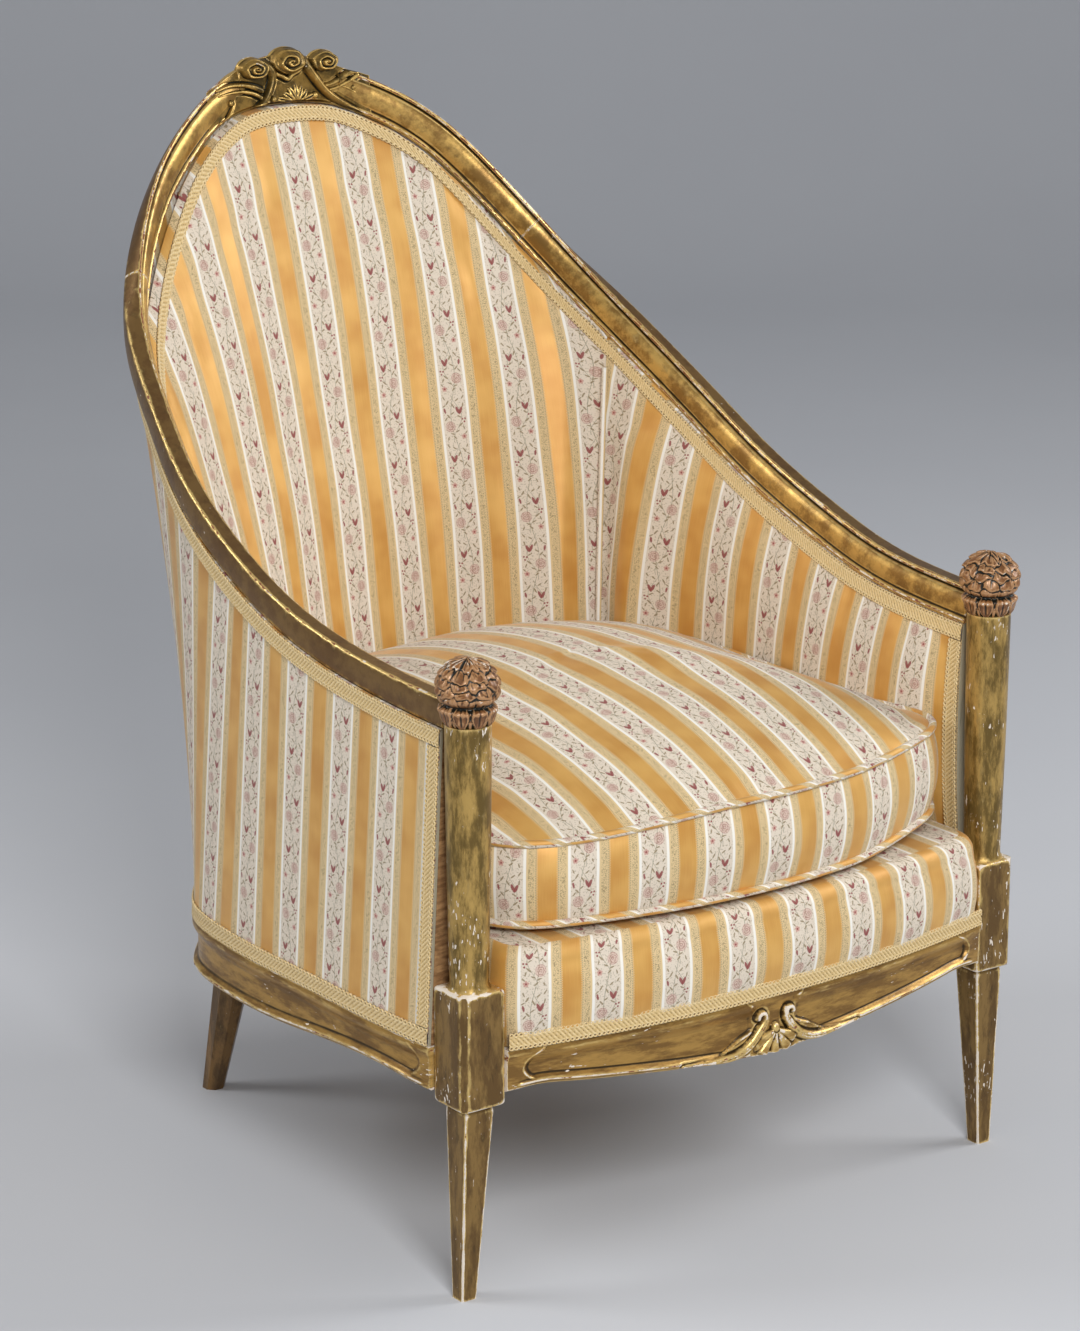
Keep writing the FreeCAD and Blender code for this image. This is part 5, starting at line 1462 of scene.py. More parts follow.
@dataclass
class Finials:
    """Carved buds of overlapping scales over a collar of leaf tips."""

    lines: ChairLines
    finishes: Finishes
    base: float = 0.5413
    top: float = 0.602
    radius: float = 0.0285
    profile: tuple[tuple[float, float], ...] = (
        (0.0, 0.68), (0.03, 0.74), (0.10, 0.82), (0.20, 0.88), (0.27, 0.89), (0.325, 0.74), (0.36, 0.82),
        (0.42, 0.95), (0.52, 1.0), (0.62, 0.995), (0.72, 0.94), (0.82, 0.82), (0.90, 0.65), (0.96, 0.42),
        (1.0, 0.0))
    scale_rows: tuple[tuple[float, int], ...] = (
        (0.40, 11), (0.53, 10), (0.66, 10), (0.79, 9), (0.91, 6), (0.99, 2))
    waist_share: float = 0.325

    def _scales(self, turn: Array, share: Array, seed: int) -> tuple[Array, Array]:
        """Relief and grime of the bud: domes round scattered middles, parted where two are as near."""
        draw = np.random.default_rng(seed)
        middles = []
        for row, (height, count) in enumerate(self.scale_rows):
            angles = 2 * math.pi * (np.arange(count) + 0.5 * (row % 2)) / count + draw.normal(0, 0.09, count)
            middles.append(np.stack([angles, height + draw.normal(0, 0.014, count)], 1))
        middles = np.concatenate(middles)
        reach = np.sqrt(np.clip(1 - np.clip((share - 0.5) / 0.5, 0, 1) ** 2, 0.02, 1)) * self.radius
        round_x, round_y = np.cos(turn) * self.radius, np.sin(turn) * self.radius
        wander = 0.0016 * ripples(round_x + 0.6 * share * self.radius, round_y, 0.011, seed)
        climb = 0.0014 * ripples(round_x, round_y + 0.9 * share * self.radius, 0.010, seed + 1)
        apart = (turn[..., None] - middles[:, 0] + math.pi) % (2 * math.pi) - math.pi
        aside = apart * reach[..., None] + wander[..., None]
        drop = (share[..., None] - middles[:, 1]) * (self.top - self.base) * 1.25 + climb[..., None]
        order = np.hypot(aside, drop)
        nearest = order.argmin(-1)[..., None]
        across = np.take_along_axis(aside, nearest, -1)[..., 0]
        height = np.take_along_axis(drop, nearest, -1)[..., 0]
        distance = np.sort(order, axis=-1)
        first, second = distance[..., 0], distance[..., 1]
        parted = ease((second - first) / (2.9 * MM))
        tilt = 0.9 * MM * np.clip(-height / (5 * MM), -1, 1)
        lobes = 0.55 * MM * bell(np.abs(across) - 1.9 * MM, 0.7 * MM) * ease((height + 1.5 * MM) / (3 * MM))
        dome = 1 - 0.45 * np.clip(first / (7 * MM), 0, 1) ** 2
        return parted * (2.5 * MM * dome + tilt - lobes) - 1.9 * MM, 1 - ease((second - first) / (2.5 * MM))

    def _leaf_tips(self, turn: Array, share: Array, count: int = 9) -> tuple[Array, Array]:
        """Relief and grime of the collar: upright leaves that taper downwards, each with a raised rim."""
        position = (turn / (2 * math.pi) * count) % 1 - 0.5
        height = np.clip(share / self.waist_share, 0, 1)
        half = 0.46 * np.clip(np.sin(math.pi * (0.12 + 0.62 * height)), 0, 1)
        inside = ease((half - np.abs(position)) / 0.07)
        groove = bell(position, 0.07) * ease(height / 0.3)
        rim = bell(np.abs(position) - half + 0.07, 0.05)
        points = ease((0.12 - np.abs((position + 1) % 1 - 0.5)) / 0.05) * ease((0.55 - height) / 0.1)
        relief = (2.6 * inside - 1.1 * groove * inside + 0.7 * rim * inside + 1.3 * points - 2.2) * MM
        return relief, (1 - inside) * (1 - points)

    def build(self) -> None:
        """Build both finials on grids of turn and height."""
        table = np.array(self.profile)
        fine = Spline(table[:, 1:], table[:, 0])
        share = 1 - (1 - np.linspace(0, 1, 120)) ** 1.3
        radius = np.clip(fine.at(share)[0][:, 0], 0, None) * self.radius
        radius[-1] = 0
        turn = np.linspace(0, 2 * math.pi, 181)
        turns, shares = np.meshgrid(turn, share)
        upper = shares > self.waist_share
        for (side, word), seed in zip(SIDES, (5, 11)):
            scales, gaps = self._scales(turns, shares, seed)
            collar, clefts = self._leaf_tips(turns, shares)
            relief = np.where(upper, scales * ease((shares - self.waist_share) / 0.03),
                              collar * ease((self.waist_share - shares) / 0.02))
            waist = bell(shares - self.waist_share, 0.022)
            grime = np.maximum(np.where(upper, gaps, clefts), waist)
            reach = (radius[:, None] + relief * np.clip(radius[:, None] / (8 * MM), 0, 1)).clip(0)
            rise = between(self.base, self.top, shares) + relief * np.clip((shares - 0.7) / 0.3, 0, 1) * 0.8
            points = np.stack([side * self.lines.post_x + reach * np.cos(turns),
                               self.lines.post_y + reach * np.sin(turns), rise], -1)
            points[-1] = points[-1].mean(0)
            points[:, -1] = points[:, 0]
            name = f"finial_{word}"
            make_piece(name, [Patch(points, values={"grime": grime}), cap(points[0])], self.finishes.finial,
                       Slot.GILTWOOD, replaces=[name], worn=2.6 * MM, crease=None)


@dataclass
class SeatRails:
    """Front, side and back seat rails, with sunk panels, a rolled lower edge and carved scrolls."""

    lines: ChairLines
    finishes: Finishes
    front_drop: float = 0.0035
    front_rise: float = 0.0185
    side_rise: float = 0.014
    inner_y: float = 0.076
    front_edge: tuple[tuple[float, float], ...] = (
        (0, 0), (0.16, 0.0), (0.34, 0.2), (0.54, 0.48), (0.74, 0.76), (0.886, 1.0), (1.0, 0.8))
    side_edge: tuple[tuple[float, float], ...] = (
        (0, 0.55), (0.07, 0.9), (0.13, 1.0), (0.22, 0.7), (0.36, 0.15), (0.5, 0), (1, 0))
    scroll: tuple[tuple[float, float], ...] = (
        (104, 191.5), (82, 190), (62, 189), (46, 190), (33, 194.5), (23.5, 202), (16.5, 211), (12.5, 219),
        (14, 224.5), (18.5, 224.5), (20.5, 221))
    flute_turns: tuple[float, ...] = (0, 34, 62)
    shell: tuple[float, float] = (207, 24)

    @staticmethod
    def _smooth_table(table: Sequence[tuple[float, float]], share: Array) -> Array:
        """Value of a table at shares, eased by a mean over nearby shares."""
        places, values = np.array(table).T
        shifts = np.linspace(-0.05, 0.05, 9)
        return np.interp(np.abs(share[..., None] + shifts), places, values).mean(-1)

    def _face(self, drop: Array, left: Array, ends: Array) -> Array:
        """Relief in millimetres: a convex band under the top, a sunk panel and a ridge above the lower edge.

        Args:
            drop: Millimetres below the rail's top edge.
            left: Millimetres above the rail's lower edge.
            ends: Millimetres to the nearer end of the panel.

        Returns:
            Millimetres that the face stands proud.
        """
        lip = 1.8 * bell(drop - 5.0, 4.6)
        rounded = ends - 0.07 * (drop - 19) ** 2 * ease((30 - ends) / 12)
        panel = -3.6 * ease((drop - 7.5) / 11) * ease((left - 6.2) / 4.2) * ease(rounded / 7)
        ridge = 1.7 * bell(left - 4.6, 1.9) * ease((ends + 8) / 8)
        ridge = ridge + 0.4 * bell(rounded, 2.4) * ease((left - 5) / 4)
        foot = -2.0 * ease((1.5 - left) / 1.5)
        return lip + panel + ridge + foot

    def _closed(self, name: str, face: Array, back: Array, finish: Material, worn: float) -> None:
        """Close a relief with a back that has the same columns, and weld it."""
        top = np.stack([face[:, -1], back[:, -1]])
        foot = np.stack([face[:, 0], back[:, 0]])
        ends = [np.stack([face[0], back[0]]), np.stack([face[-1], back[-1]])]
        make_piece(name, [Patch(face), Patch(back), Patch(top), Patch(foot)] + [Patch(end) for end in ends],
                   finish, Slot.GILTWOOD, replaces=[name], worn=worn, crease=50)

    def _front(self) -> None:
        """Bowed front rail with scrolls that curl up on both sides of a fluted shell."""
        lines = self.lines
        end = lines.post_face - lines.gap
        x = np.linspace(-end, end, 620)[:, None]
        low = (lines.seat_top - lines.seat_height - self.front_drop
               + self.front_rise * self._smooth_table(self.front_edge, np.abs(x) / end))
        share = np.linspace(0, 1, 64)[None]
        z = between(low, lines.seat_top, share)
        drop, left = (lines.seat_top - z) / MM, (z - low) / MM
        wide, up = np.abs(x) / MM + 0 * z, z / MM
        sweep = np.array(self.scroll[:8])
        inner = np.interp(up, sweep[:, 1], sweep[:, 0])
        ends = np.minimum(end / MM - 15 - wide, wide - np.minimum(inner, 40))
        relief = self._face(drop, left, ends)
        distance, along = near_line(wide, up, curved(self.scroll))
        width = between(1.4, 4.6, ease(along / 0.62)) * between(1, 0.55, ease((along - 0.7) / 0.3))
        reach = distance / width
        ribbon = np.sqrt(np.clip(1 - reach**2, 0, None)) * between(1.8, 4.0, ease(along / 0.5))
        ribbon = ribbon - 0.9 * bell(distance, 0.5) * ease((along - 0.3) / 0.2) * ease((0.9 - along) / 0.1)
        blank = ease((30 - wide) / 8)
        relief = relief * (1 - blank) - 1.0 * blank * ease(drop / 10) * ease(left / 4)
        relief = np.where(reach < 1, np.maximum(relief, ribbon),
                          relief - 1.2 * bell(distance - width - 1.0, 1.4))
        bead = 4.4 * np.sqrt(np.clip(1 - ((wide / 4.6) ** 2 + ((up - 208) / 5.4) ** 2), 0, None))
        down = self.shell[0] - up
        for turn in self.flute_turns:
            angle = math.radians(turn)
            runs = (down * math.cos(angle) + wide * math.sin(angle)) / self.shell[1]
            aside = (wide * math.cos(angle) - down * math.sin(angle)) / (1.4 + 4.0 * np.clip(runs, 0, 1))
            flute = 3.6 * np.sqrt(np.clip(1 - aside**2, 0, None)) * ease(runs / 0.2)
            flute = flute * ease((1.2 - runs) / 0.15)
            relief = np.maximum(relief, np.where((wide < 26) & (flute > 0), flute, -9))
        relief = np.maximum(relief, np.where(bead > 0, bead, -9))
        face = np.stack(np.broadcast_arrays(x, lines.front_face(x) - relief * MM, z), -1)
        back = np.stack(np.broadcast_arrays(x, self.inner_y - lines.depth / 2, z), -1)
        self._closed("front_seat_rail", face, back, self.finishes.seat_rail, 3.2 * MM)

    def _round(self, name: str, low: float, high: float, haunch: bool) -> None:
        """Side or back seat rail between two places of the path."""
        lines = self.lines
        places = lines.stations(low, high, 2.5 * MM)
        slices = lines.slices(places)
        leg = lines.leg + lines.share(lines.gap)
        share = (lines.front - np.abs(places)) / (lines.front - leg)
        rise = self.side_rise * self._smooth_table(self.side_edge, share) if haunch else 0 * share
        foot = (lines.seat_top - lines.seat_height + rise)[:, None]
        height = between(foot, lines.seat_top, np.linspace(0, 1, 44)[None])
        drop, left = (lines.seat_top - height) / MM, (height - foot) / MM
        ends = (lines.front - np.abs(places))[:, None] * lines.length / MM - 14 + 0 * height
        relief = self._face(drop, left, ends if haunch else np.full_like(ends, 60.0))
        self._closed(name, slices.level(-relief * MM, height), slices.level(lines.seat_thickness, height),
                     self.finishes.seat_rail, 3.2 * MM)

    def build(self) -> None:
        """Build the four rails."""
        lines = self.lines
        self._front()
        start = lines.leg + lines.share(lines.gap)
        self._round("side_seat_rail_right", start, lines.front, True)
        self._round("side_seat_rail_left", -lines.front, -start, True)
        self._round("back_seat_rail", -lines.leg, lines.leg, False)


# Stuffed parts, covers and trimmings


@dataclass
class Upholstery:
    """Stuffed inside back and arms, the outside covers, and the braid and piping on them."""

    lines: ChairLines
    finishes: Finishes
    cover: float = 0.003
    frame_thickness: float = 0.018
    frame_top: float = 0.005
    strap: float = 0.0015
    pad: float = 0.032
    pad_rise: float = 0.060
    edge_share: float = 0.30
    foot_share: float = 0.70
    edge_run: float = 0.070
    top_kink: float = 0.036
    cord: float = 0.004
    braid_width: float = 0.017
    braid_pitch: float = 0.0045
    arm_repeat: float = 0.074
    outside_repeat: float = 0.0709
    stripe_height: float = 0.70
    arm_stripe: float = 0.028
    outside_stripe: float = 0.031
    cloth_run: float = 1.03
    loop_inset: float = 6.1 * MM
    loop_radius: float = 1.75 * MM
    back_stripes: tuple[float, ...] = (
        -0.27, -0.205, -0.138, -0.083, -0.018, 0.050, 0.116, 0.186, 0.252, 0.318)
    back_tilts: tuple[float, ...] = (-0.20, -0.12, -0.05, 0.013, 0.050, 0.063, 0.065, 0.070, 0.060, 0.050)

    def __post_init__(self) -> None:
        """Depths of the layers behind the stuffing."""
        gap = self.lines.gap
        outer = self.cover + 2 * gap
        self.pad_back = outer + self.frame_thickness + self.lines.lining + self.strap + gap
        self.pad_top_back = outer + self.frame_top + self.lines.lining + self.strap + gap

    def _fullness(self, place: Array) -> Array:
        """Share of a pad's thickness: less beside the seams and at the front of the arms."""
        lines = self.lines
        distance = np.abs(place)
        from_seam = np.abs(distance - lines.seam) - lines.share(2 * self.cord)
        from_seam = ease(from_seam / lines.share(self.edge_run))
        from_front = ease((lines.front - distance) / lines.share(self.edge_run))
        return between(self.edge_share, 1.0, from_seam * from_front)

    def pad_face(self, slices: Slices, down: Array, lift: float | Array = 0.0) -> tuple[Array, Array]:
        """Inward depth and rise down a pad's face: a parabola through its top, middle and foot.

        Args:
            slices: Slices of the wall.
            down: Shares down the face, 0 at the rail and 1 at the foot.
            lift: Distance off the face.

        Returns:
            Inward depths and rises, as grids.
        """
        full = self.pad * self._fullness(slices.place)
        start = self.lines.rail_width + slices.face_slope - self.lines.gap
        top = self.lines.under_rail(slices, start) - self.lines.gap
        foot = (self.pad_rise - slices.inward[:, 2] * self.pad_back) / slices.up[:, 2]
        first, middle, last = start, self.pad_back + full, self.pad_back + full * self.foot_share
        share = down[None] if down.ndim == 1 else down
        inward = (first[:, None] * (1 - share) * (1 - 2 * share) + middle[:, None] * 4 * share * (1 - share)
                  + last[:, None] * share * (2 * share - 1))
        return inward + lift, between(top[:, None], foot[:, None], share)

    def _back_cloth(self, points: Array) -> Array:
        """Cloth coordinates of the inside back: straight stripes that fan out as the table of places says."""
        tilt = np.interp(points[..., 0], self.back_stripes, self.back_tilts)
        at_middle = points[..., 0] - tilt * (points[..., 2] - self.stripe_height)
        count = np.arange(len(self.back_stripes)) * SILK_REPEAT
        across = np.interp(at_middle, self.back_stripes, count)
        return np.stack([across, points[..., 2] * self.cloth_run], -1)

    def _arm_cloth(self, points: Array) -> Array:
        """Cloth coordinates of an inside arm: upright stripes at an even step from front to back."""
        across = (points[..., 1] - self.arm_stripe) * SILK_REPEAT / self.arm_repeat
        return np.stack([across, points[..., 2]], -1)

    def _pad(self, name: str, low: float, high: float, cloth: Callable[[Array], Array], seed: int) -> None:
        """One stuffed pad: its face, its back against the webbing, and its edges."""
        lines = self.lines
        slices = lines.slices(lines.stations(low, high, 4 * MM), True)
        down = np.linspace(0, 1, 72)
        inward, rise = self.pad_face(slices, down)
        along = (slices.place * lines.length)[:, None] + 0 * rise
        soft = np.sin(math.pi * np.clip(down, 0, 1))[None] * self._fullness(slices.place)[:, None]
        inward = inward + MM * soft * (1.2 * ripples(along, rise, 0.16, seed) - 2.0 * (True))
        kink = lines.under_rail(slices, self.pad_top_back) - self.top_kink
        back_foot = (self.pad_rise - slices.inward[:, 2] * self.pad_back) / slices.up[:, 2]
        back_in = 0 * kink[:, None] + (self.pad_back, self.pad_back, self.pad_top_back)
        back_up = np.stack([back_foot, kink, kink + self.top_kink], 1)
        face = slices.wall(inward, rise)
        back = slices.wall(back_in, back_up)
        ring = closed_ring(np.concatenate([face, back], 1))
        patches = [Patch(ring, np.concatenate([cloth(face), cloth(back), cloth(face[:, :1])], 1)),
                   cap(ring[0]), cap(ring[-1])]
        piece = make_piece(name, patches, self.finishes.silk, Slot.FABRIC, replaces=[name], crease=60)
        Stuffing(limit=3.5 * MM).swell(piece, face[4:-4, 4:-4].reshape(-1, 3))

    def _outside(self, name: str, low: float, high: float, origin: float) -> None:
        """One outside cover: a stretched sheet between the rail and the seat rail."""
        lines = self.lines
        slices = lines.slices(lines.stations(low, high, 5 * MM), True)
        share = np.linspace(0, 1, 48)[None]
        outer_top = lines.under_rail(slices, lines.gap)
        inner_top = lines.under_rail(slices, lines.gap + self.cover)
        outer_foot = slices.seated(lines.gap, lines.gap)
        inner_foot = slices.seated(lines.gap + self.cover, lines.gap)
        outer = slices.wall(lines.gap, between(outer_foot[:, None], outer_top[:, None], share))
        inner = slices.wall(lines.gap + self.cover, between(inner_foot[:, None], inner_top[:, None], share))
        middle = outer[:, outer.shape[1] // 2]
        gone = travelled(middle)
        start = np.interp(origin, slices.place, gone)
        across = ((gone - start) * SILK_REPEAT / self.outside_repeat)[:, None] + 0 * outer[..., 2]
        cloth = np.stack([across, outer[..., 2] * self.cloth_run], -1)
        loop = closed_ring(np.concatenate([outer, inner[:, ::-1]], 1))
        loop_cloth = np.concatenate([cloth, cloth[:, ::-1], cloth[:, :1]], 1)
        piece = make_piece(name, [Patch(loop, loop_cloth), cap(loop[0]), cap(loop[-1])], self.finishes.silk,
                           Slot.FABRIC, replaces=[name], crease=60)

    @staticmethod
    def _area(grid: Array) -> float:
        """Area of a grid: half the cross product of each quad's diagonals, added up."""
        first = grid[1:, 1:] - grid[:-1, :-1]
        second = grid[1:, :-1] - grid[:-1, 1:]
        return float(np.linalg.norm(np.cross(first, second), axis=-1).sum() / 2)

    def _braid(self, name: str, place: Callable[[Array, Array], tuple[Array, Array]],
               length: float | None = None) -> None:
        """One braid: looped cords along both edges and slanting threads between them.

        Args:
            name: Name of the piece.
            place: Points and outward directions for shares along the braid and metres across it.
            length: Length of the braid, or none for the length of its middle line.
        """
        if length is None:
            path = place(np.linspace(0, 1, 400)[:, None], np.zeros((400, 1)))[0][:, 0]
            length = float(np.linalg.norm(np.diff(path, axis=0), axis=1).sum())
        pitch = length / max(1, round(length / self.braid_pitch))
        count = int(round(length / pitch)) * 6 + 1
        gone = np.linspace(0, length, count)[:, None]
        share = np.linspace(-1, 1, 27)[None]
        half = self.braid_width / 2 - 1.1 * MM * (1 - np.abs(np.sin(math.pi * gone / pitch)))
        across = share * half
        looped = (gone / pitch % 1 - 0.5) * pitch
        ring = np.hypot(looped, np.abs(across) - self.loop_inset)
        loops = np.sqrt(np.clip(1 - ((ring - self.loop_radius) / (0.8 * MM)) ** 2, 0, None))
        slant = np.abs(np.sin(math.pi * (gone + 0.9 * across) / pitch)) ** 0.6
        middle = slant * ease((4.6 * MM - np.abs(across)) / (0.5 * MM))
        cords = np.sqrt(np.clip(1 - ((np.abs(across) - 4.9 * MM) / (0.55 * MM)) ** 2, 0, None))
        relief = np.maximum(np.maximum(loops, 0.85 * middle), 0.6 * cords)
        edge = ease((1 - np.abs(share)) / 0.06)
        points, out = place(gone / length + 0 * across, across)
        top = points + out * ((0.5 + 1.7 * relief) * edge * MM)[..., None]
        cloth = np.stack([gone + 0 * across, across], -1)
        patches = [Patch(top, cloth, {"relief": relief}), Patch(points[:, ::26], cloth[:, ::26])]
        patches += [cap(np.concatenate([top[end], points[end, ::-26]])) for end in (0, -1)]
        make_piece(name, patches, self.finishes.braid, Slot.GIMP, replaces=[name], crease=None)

    def _wall_braid(self, name: str, low: float, high: float, rise: Callable[[Slices], Array]) -> None:
        """Braid along the outside covers, its middle at a rise on each slice."""
        lines = self.lines

        def place(share: Array, across: Array) -> tuple[Array, Array]:
            """Points on the covers, and outwards."""
            slices = lines.slices(between(low, high, share[:, 0]), True)
            points = slices.wall(0.0, rise(slices)[:, None] + across)
            return points, np.broadcast_to(-slices.inward[:, None], points.shape)

        self._braid(name, place)

    def _face_point(self, slices: Slices, travel: Array, lift: float) -> tuple[Array, Array]:
        """Points at a travel down a pad's face from its top, and the face's outward direction there.

        Args:
            slices: Slices of the wall, one for each row of the travel.
            travel: Metres down the face, one row for each slice.
            lift: Distance off the face.

        Returns:
            Points and outward directions.
        """
        down = np.linspace(0, 1, 60)
        inward, rise = self.pad_face(slices, down)
        step = np.hypot(np.diff(inward, axis=1), np.diff(rise, axis=1))
        gone = np.concatenate([0 * step[:, :1], np.cumsum(step, 1)], 1)
        index = np.clip((gone[:, None, :] <= travel[..., None]).sum(-1) - 1, 0, 58)
        pick = np.take_along_axis
        share = (travel - pick(gone, index, 1)) / pick(step, index, 1)
        run_in = pick(inward, index + 1, 1) - pick(inward, index, 1)
        run_up = pick(rise, index + 1, 1) - pick(rise, index, 1)
        at_in = pick(inward, index, 1) + run_in * share
        at_up = pick(rise, index, 1) + run_up * share
        size = np.hypot(run_in, run_up)
        out_in, out_up = -run_up / size, run_in / size
        points = slices.wall(at_in + out_in * lift, at_up + out_up * lift)
        out = slices.inward[:, None] * out_in[..., None] + slices.up[:, None] * out_up[..., None]
        return points, out

    def _inner_braids(self) -> None:
        """Braid under the rail on the inside covers, and down the front edge of both inside arms."""
        lines = self.lines
        half = self.braid_width / 2

        def under_rail(share: Array, across: Array) -> tuple[Array, Array]:
            """Points down the face of the pads, just under the rail."""
            slices = lines.slices(between(-lines.wall_front, lines.wall_front, share[:, 0]), True)
            return self._face_point(slices, half + lines.gap - across, 0.4 * MM)

        self._braid("gimp_inside_rail", under_rail)
        for side, word in SIDES:
            centre = lines.slices(np.array([side * (lines.wall_front - lines.share(half))]), True)
            inward, rise = self.pad_face(centre, np.linspace(0, 1, 60))
            whole = float(np.hypot(np.diff(inward[0]), np.diff(rise[0])).sum())
            start = self.braid_width + 2 * lines.gap

            def down_front(share: Array, across: Array, side: int = side) -> tuple[Array, Array]:
                """Points down the front of an inside arm."""
                grids = []
                for column in range(share.shape[1]):
                    at = side * (lines.wall_front - lines.share(half)) + lines.share(1) * across[:, column]
                    travel = between(start, whole, share[:, column:column + 1])
                    grids.append(self._face_point(lines.slices(at, True), travel, 0.4 * MM))
                points = np.concatenate([grid[0] for grid in grids], 1)
                return points, np.concatenate([grid[1] for grid in grids], 1)

            self._braid(f"gimp_post_inner_{word}", down_front, whole - start)

    def _braids(self) -> None:
        """Braid round the outside covers, on the inside covers and along the front border."""
        lines = self.lines
        half = self.braid_width / 2
        front = lines.wall_front
        self._wall_braid("gimp_under_rail", -front, front,
                         lambda slices: lines.under_rail(slices, 0.0) - half)
        self._wall_braid("gimp_over_seat_rail", -front, front,
                         lambda slices: slices.seated(0.0, lines.gap) + half)
        for side, word in SIDES:
            centre = side * (front - lines.share(half))
            single = lines.slices(np.array([centre]), True)
            low = 2 * lines.gap + self.braid_width
            high = float(lines.under_rail(single, 0.0)[0]) - self.braid_width - lines.gap

            def upright(share: Array, across: Array, centre: float = centre, low: float = low,
                        high: float = high) -> tuple[Array, Array]:
                """Points up the front edge of an outside cover."""
                at = centre + lines.share(1) * across
                slices = lines.slices(at.ravel(), True)
                points = slices.wall(0.0, between(low, high, share.ravel())[:, None])[:, 0]
                out = -slices.inward
                return points.reshape(at.shape + (3,)), out.reshape(at.shape + (3,))

            self._braid(f"gimp_post_outer_{word}", upright, high - low)
        self._inner_braids()
        end = lines.post_face - 2 * lines.gap

        def along_border(share: Array, across: Array) -> tuple[Array, Array]:
            """Points along the bottom of the front border."""
            x = between(-end, end, share)
            height = lines.seat_top + lines.gap + half + across
            points = np.stack([x, lines.front_face(x) - 1.6 * MM, height], -1)
            slope = np.gradient(lines.front_face(x[:, 0]), x[:, 0])
            out = unit(np.stack([slope, -1 + 0 * slope, 0 * slope], -1))
            return points, np.broadcast_to(out[:, None], points.shape)

        self._braid("gimp_front_border", along_border, 2 * end * 1.005)

    def _seam_cords(self) -> None:
        """Piping down the seams between the back and the arms."""
        lines = self.lines
        for side, word in SIDES:
            slices = lines.slices(np.array([side * lines.seam]), True)
            inward, rise = self.pad_face(slices, np.linspace(0.07, 1, 90))
            path = slices.wall(inward + 0.75 * self.cord, rise)[0]
            patches = tube(path, 0.8 * self.cord, np.array([0.3 * side, 1.0, 0.0]), 16)
            twist = patches[0].cloth
            around = (twist[..., 0] - twist[..., 1]) / 2.6
            patches[0].cloth = np.stack([around, path[:, None, 2] + 0 * around], -1)
            name = f"seam_cord_{word}"
            make_piece(name, patches, self.finishes.silk, Slot.PIPING, replaces=[name], crease=None)

    def build(self) -> None:
        """Build the pads, covers, braids and seam piping."""
        lines = self.lines
        gap = lines.share(lines.gap)
        self._pad("inside_back", gap - lines.seam, lines.seam - gap, self._back_cloth, 3)
        self._pad("inside_arm_right", lines.seam + gap, lines.wall_front, self._arm_cloth, 4)
        self._pad("inside_arm_left", -lines.wall_front, -lines.seam - gap, self._arm_cloth, 5)
        at_stripe = float(np.interp(self.outside_stripe, *self._side_places()))
        self._outside("outside_arm_right", lines.joint + gap, lines.wall_front, at_stripe)
        self._outside("outside_arm_left", -lines.wall_front, -lines.joint - gap, -at_stripe)
        self._outside("outside_back", gap - lines.joint, lines.joint - gap, 0.0)
        self._braids()
        self._seam_cords()

    def _side_places(self) -> tuple[Array, Array]:
        """Depths along the side of the chair in rising order, and the places that they belong to."""
        places = np.linspace(self.lines.joint, self.lines.front, 200)
        slices = self.lines.slices(places, True)
        depths = (slices.foot[:, 1] + slices.head[:, 1]) / 2
        return depths[::-1], places[::-1]


@dataclass
class SeatShapes:
    """Level outline shared by the seat platform and the loose cushion."""

    count: int = 360

    def outline(self, half: float, front: float, corner: float, side: float, back: float,
                reach: float) -> Array:
        """Bowed front, rounded corners, straight sides and a round back, at even steps round it.

        Args:
            half: Half of the width.
            front: Front line at the middle.
            corner: Front line at the corners.
            side: Where the straight sides end.
            back: Back line at the middle.
            reach: Length over which a front corner is rounded.

        Returns:
            Points from the middle of the front round by the right, the first repeated at the end.
        """
        x = np.linspace(0, half - reach, 40)
        bow = np.stack([x, front + (corner - front) * (x / half) ** 2], 1)
        share = np.linspace(0, 1, 24)[1:, None]
        start, mid, end = bow[-1], np.array([half, corner]), np.array([half, corner + reach])
        rounding = start * (1 - share) ** 2 + 2 * mid * share * (1 - share) + end * share**2
        straight = np.stack([np.full(30, half), np.linspace(corner + reach, side, 31)[1:]], 1)
        turn = np.linspace(0, math.pi / 2, 80)[1:]
        round_back = np.stack([half * np.cos(turn) ** 0.8, side + (back - side) * np.sin(turn) ** 0.8], 1)
        right = np.concatenate([bow, rounding, straight, round_back])
        whole = np.concatenate([right, right[-2::-1] * (-1, 1)])
        gone = travelled(whole)
        even = np.linspace(0, gone[-1], self.count + 1)
        points = np.stack([np.interp(even, gone, whole[:, axis]) for axis in (0, 1)], 1)
        for _ in range(6):
            ring = points[:-1]
            ring = 0.5 * ring + 0.25 * (np.roll(ring, 1, 0) + np.roll(ring, -1, 0))
            points = np.concatenate([ring, ring[:1]])
        return points

    @staticmethod
    def travel(outline: Array) -> Array:
        """Signed distance round an outline from the middle of its front."""
        gone = travelled(outline)
        return np.where(gone > gone[-1] / 2, gone - gone[-1], gone)


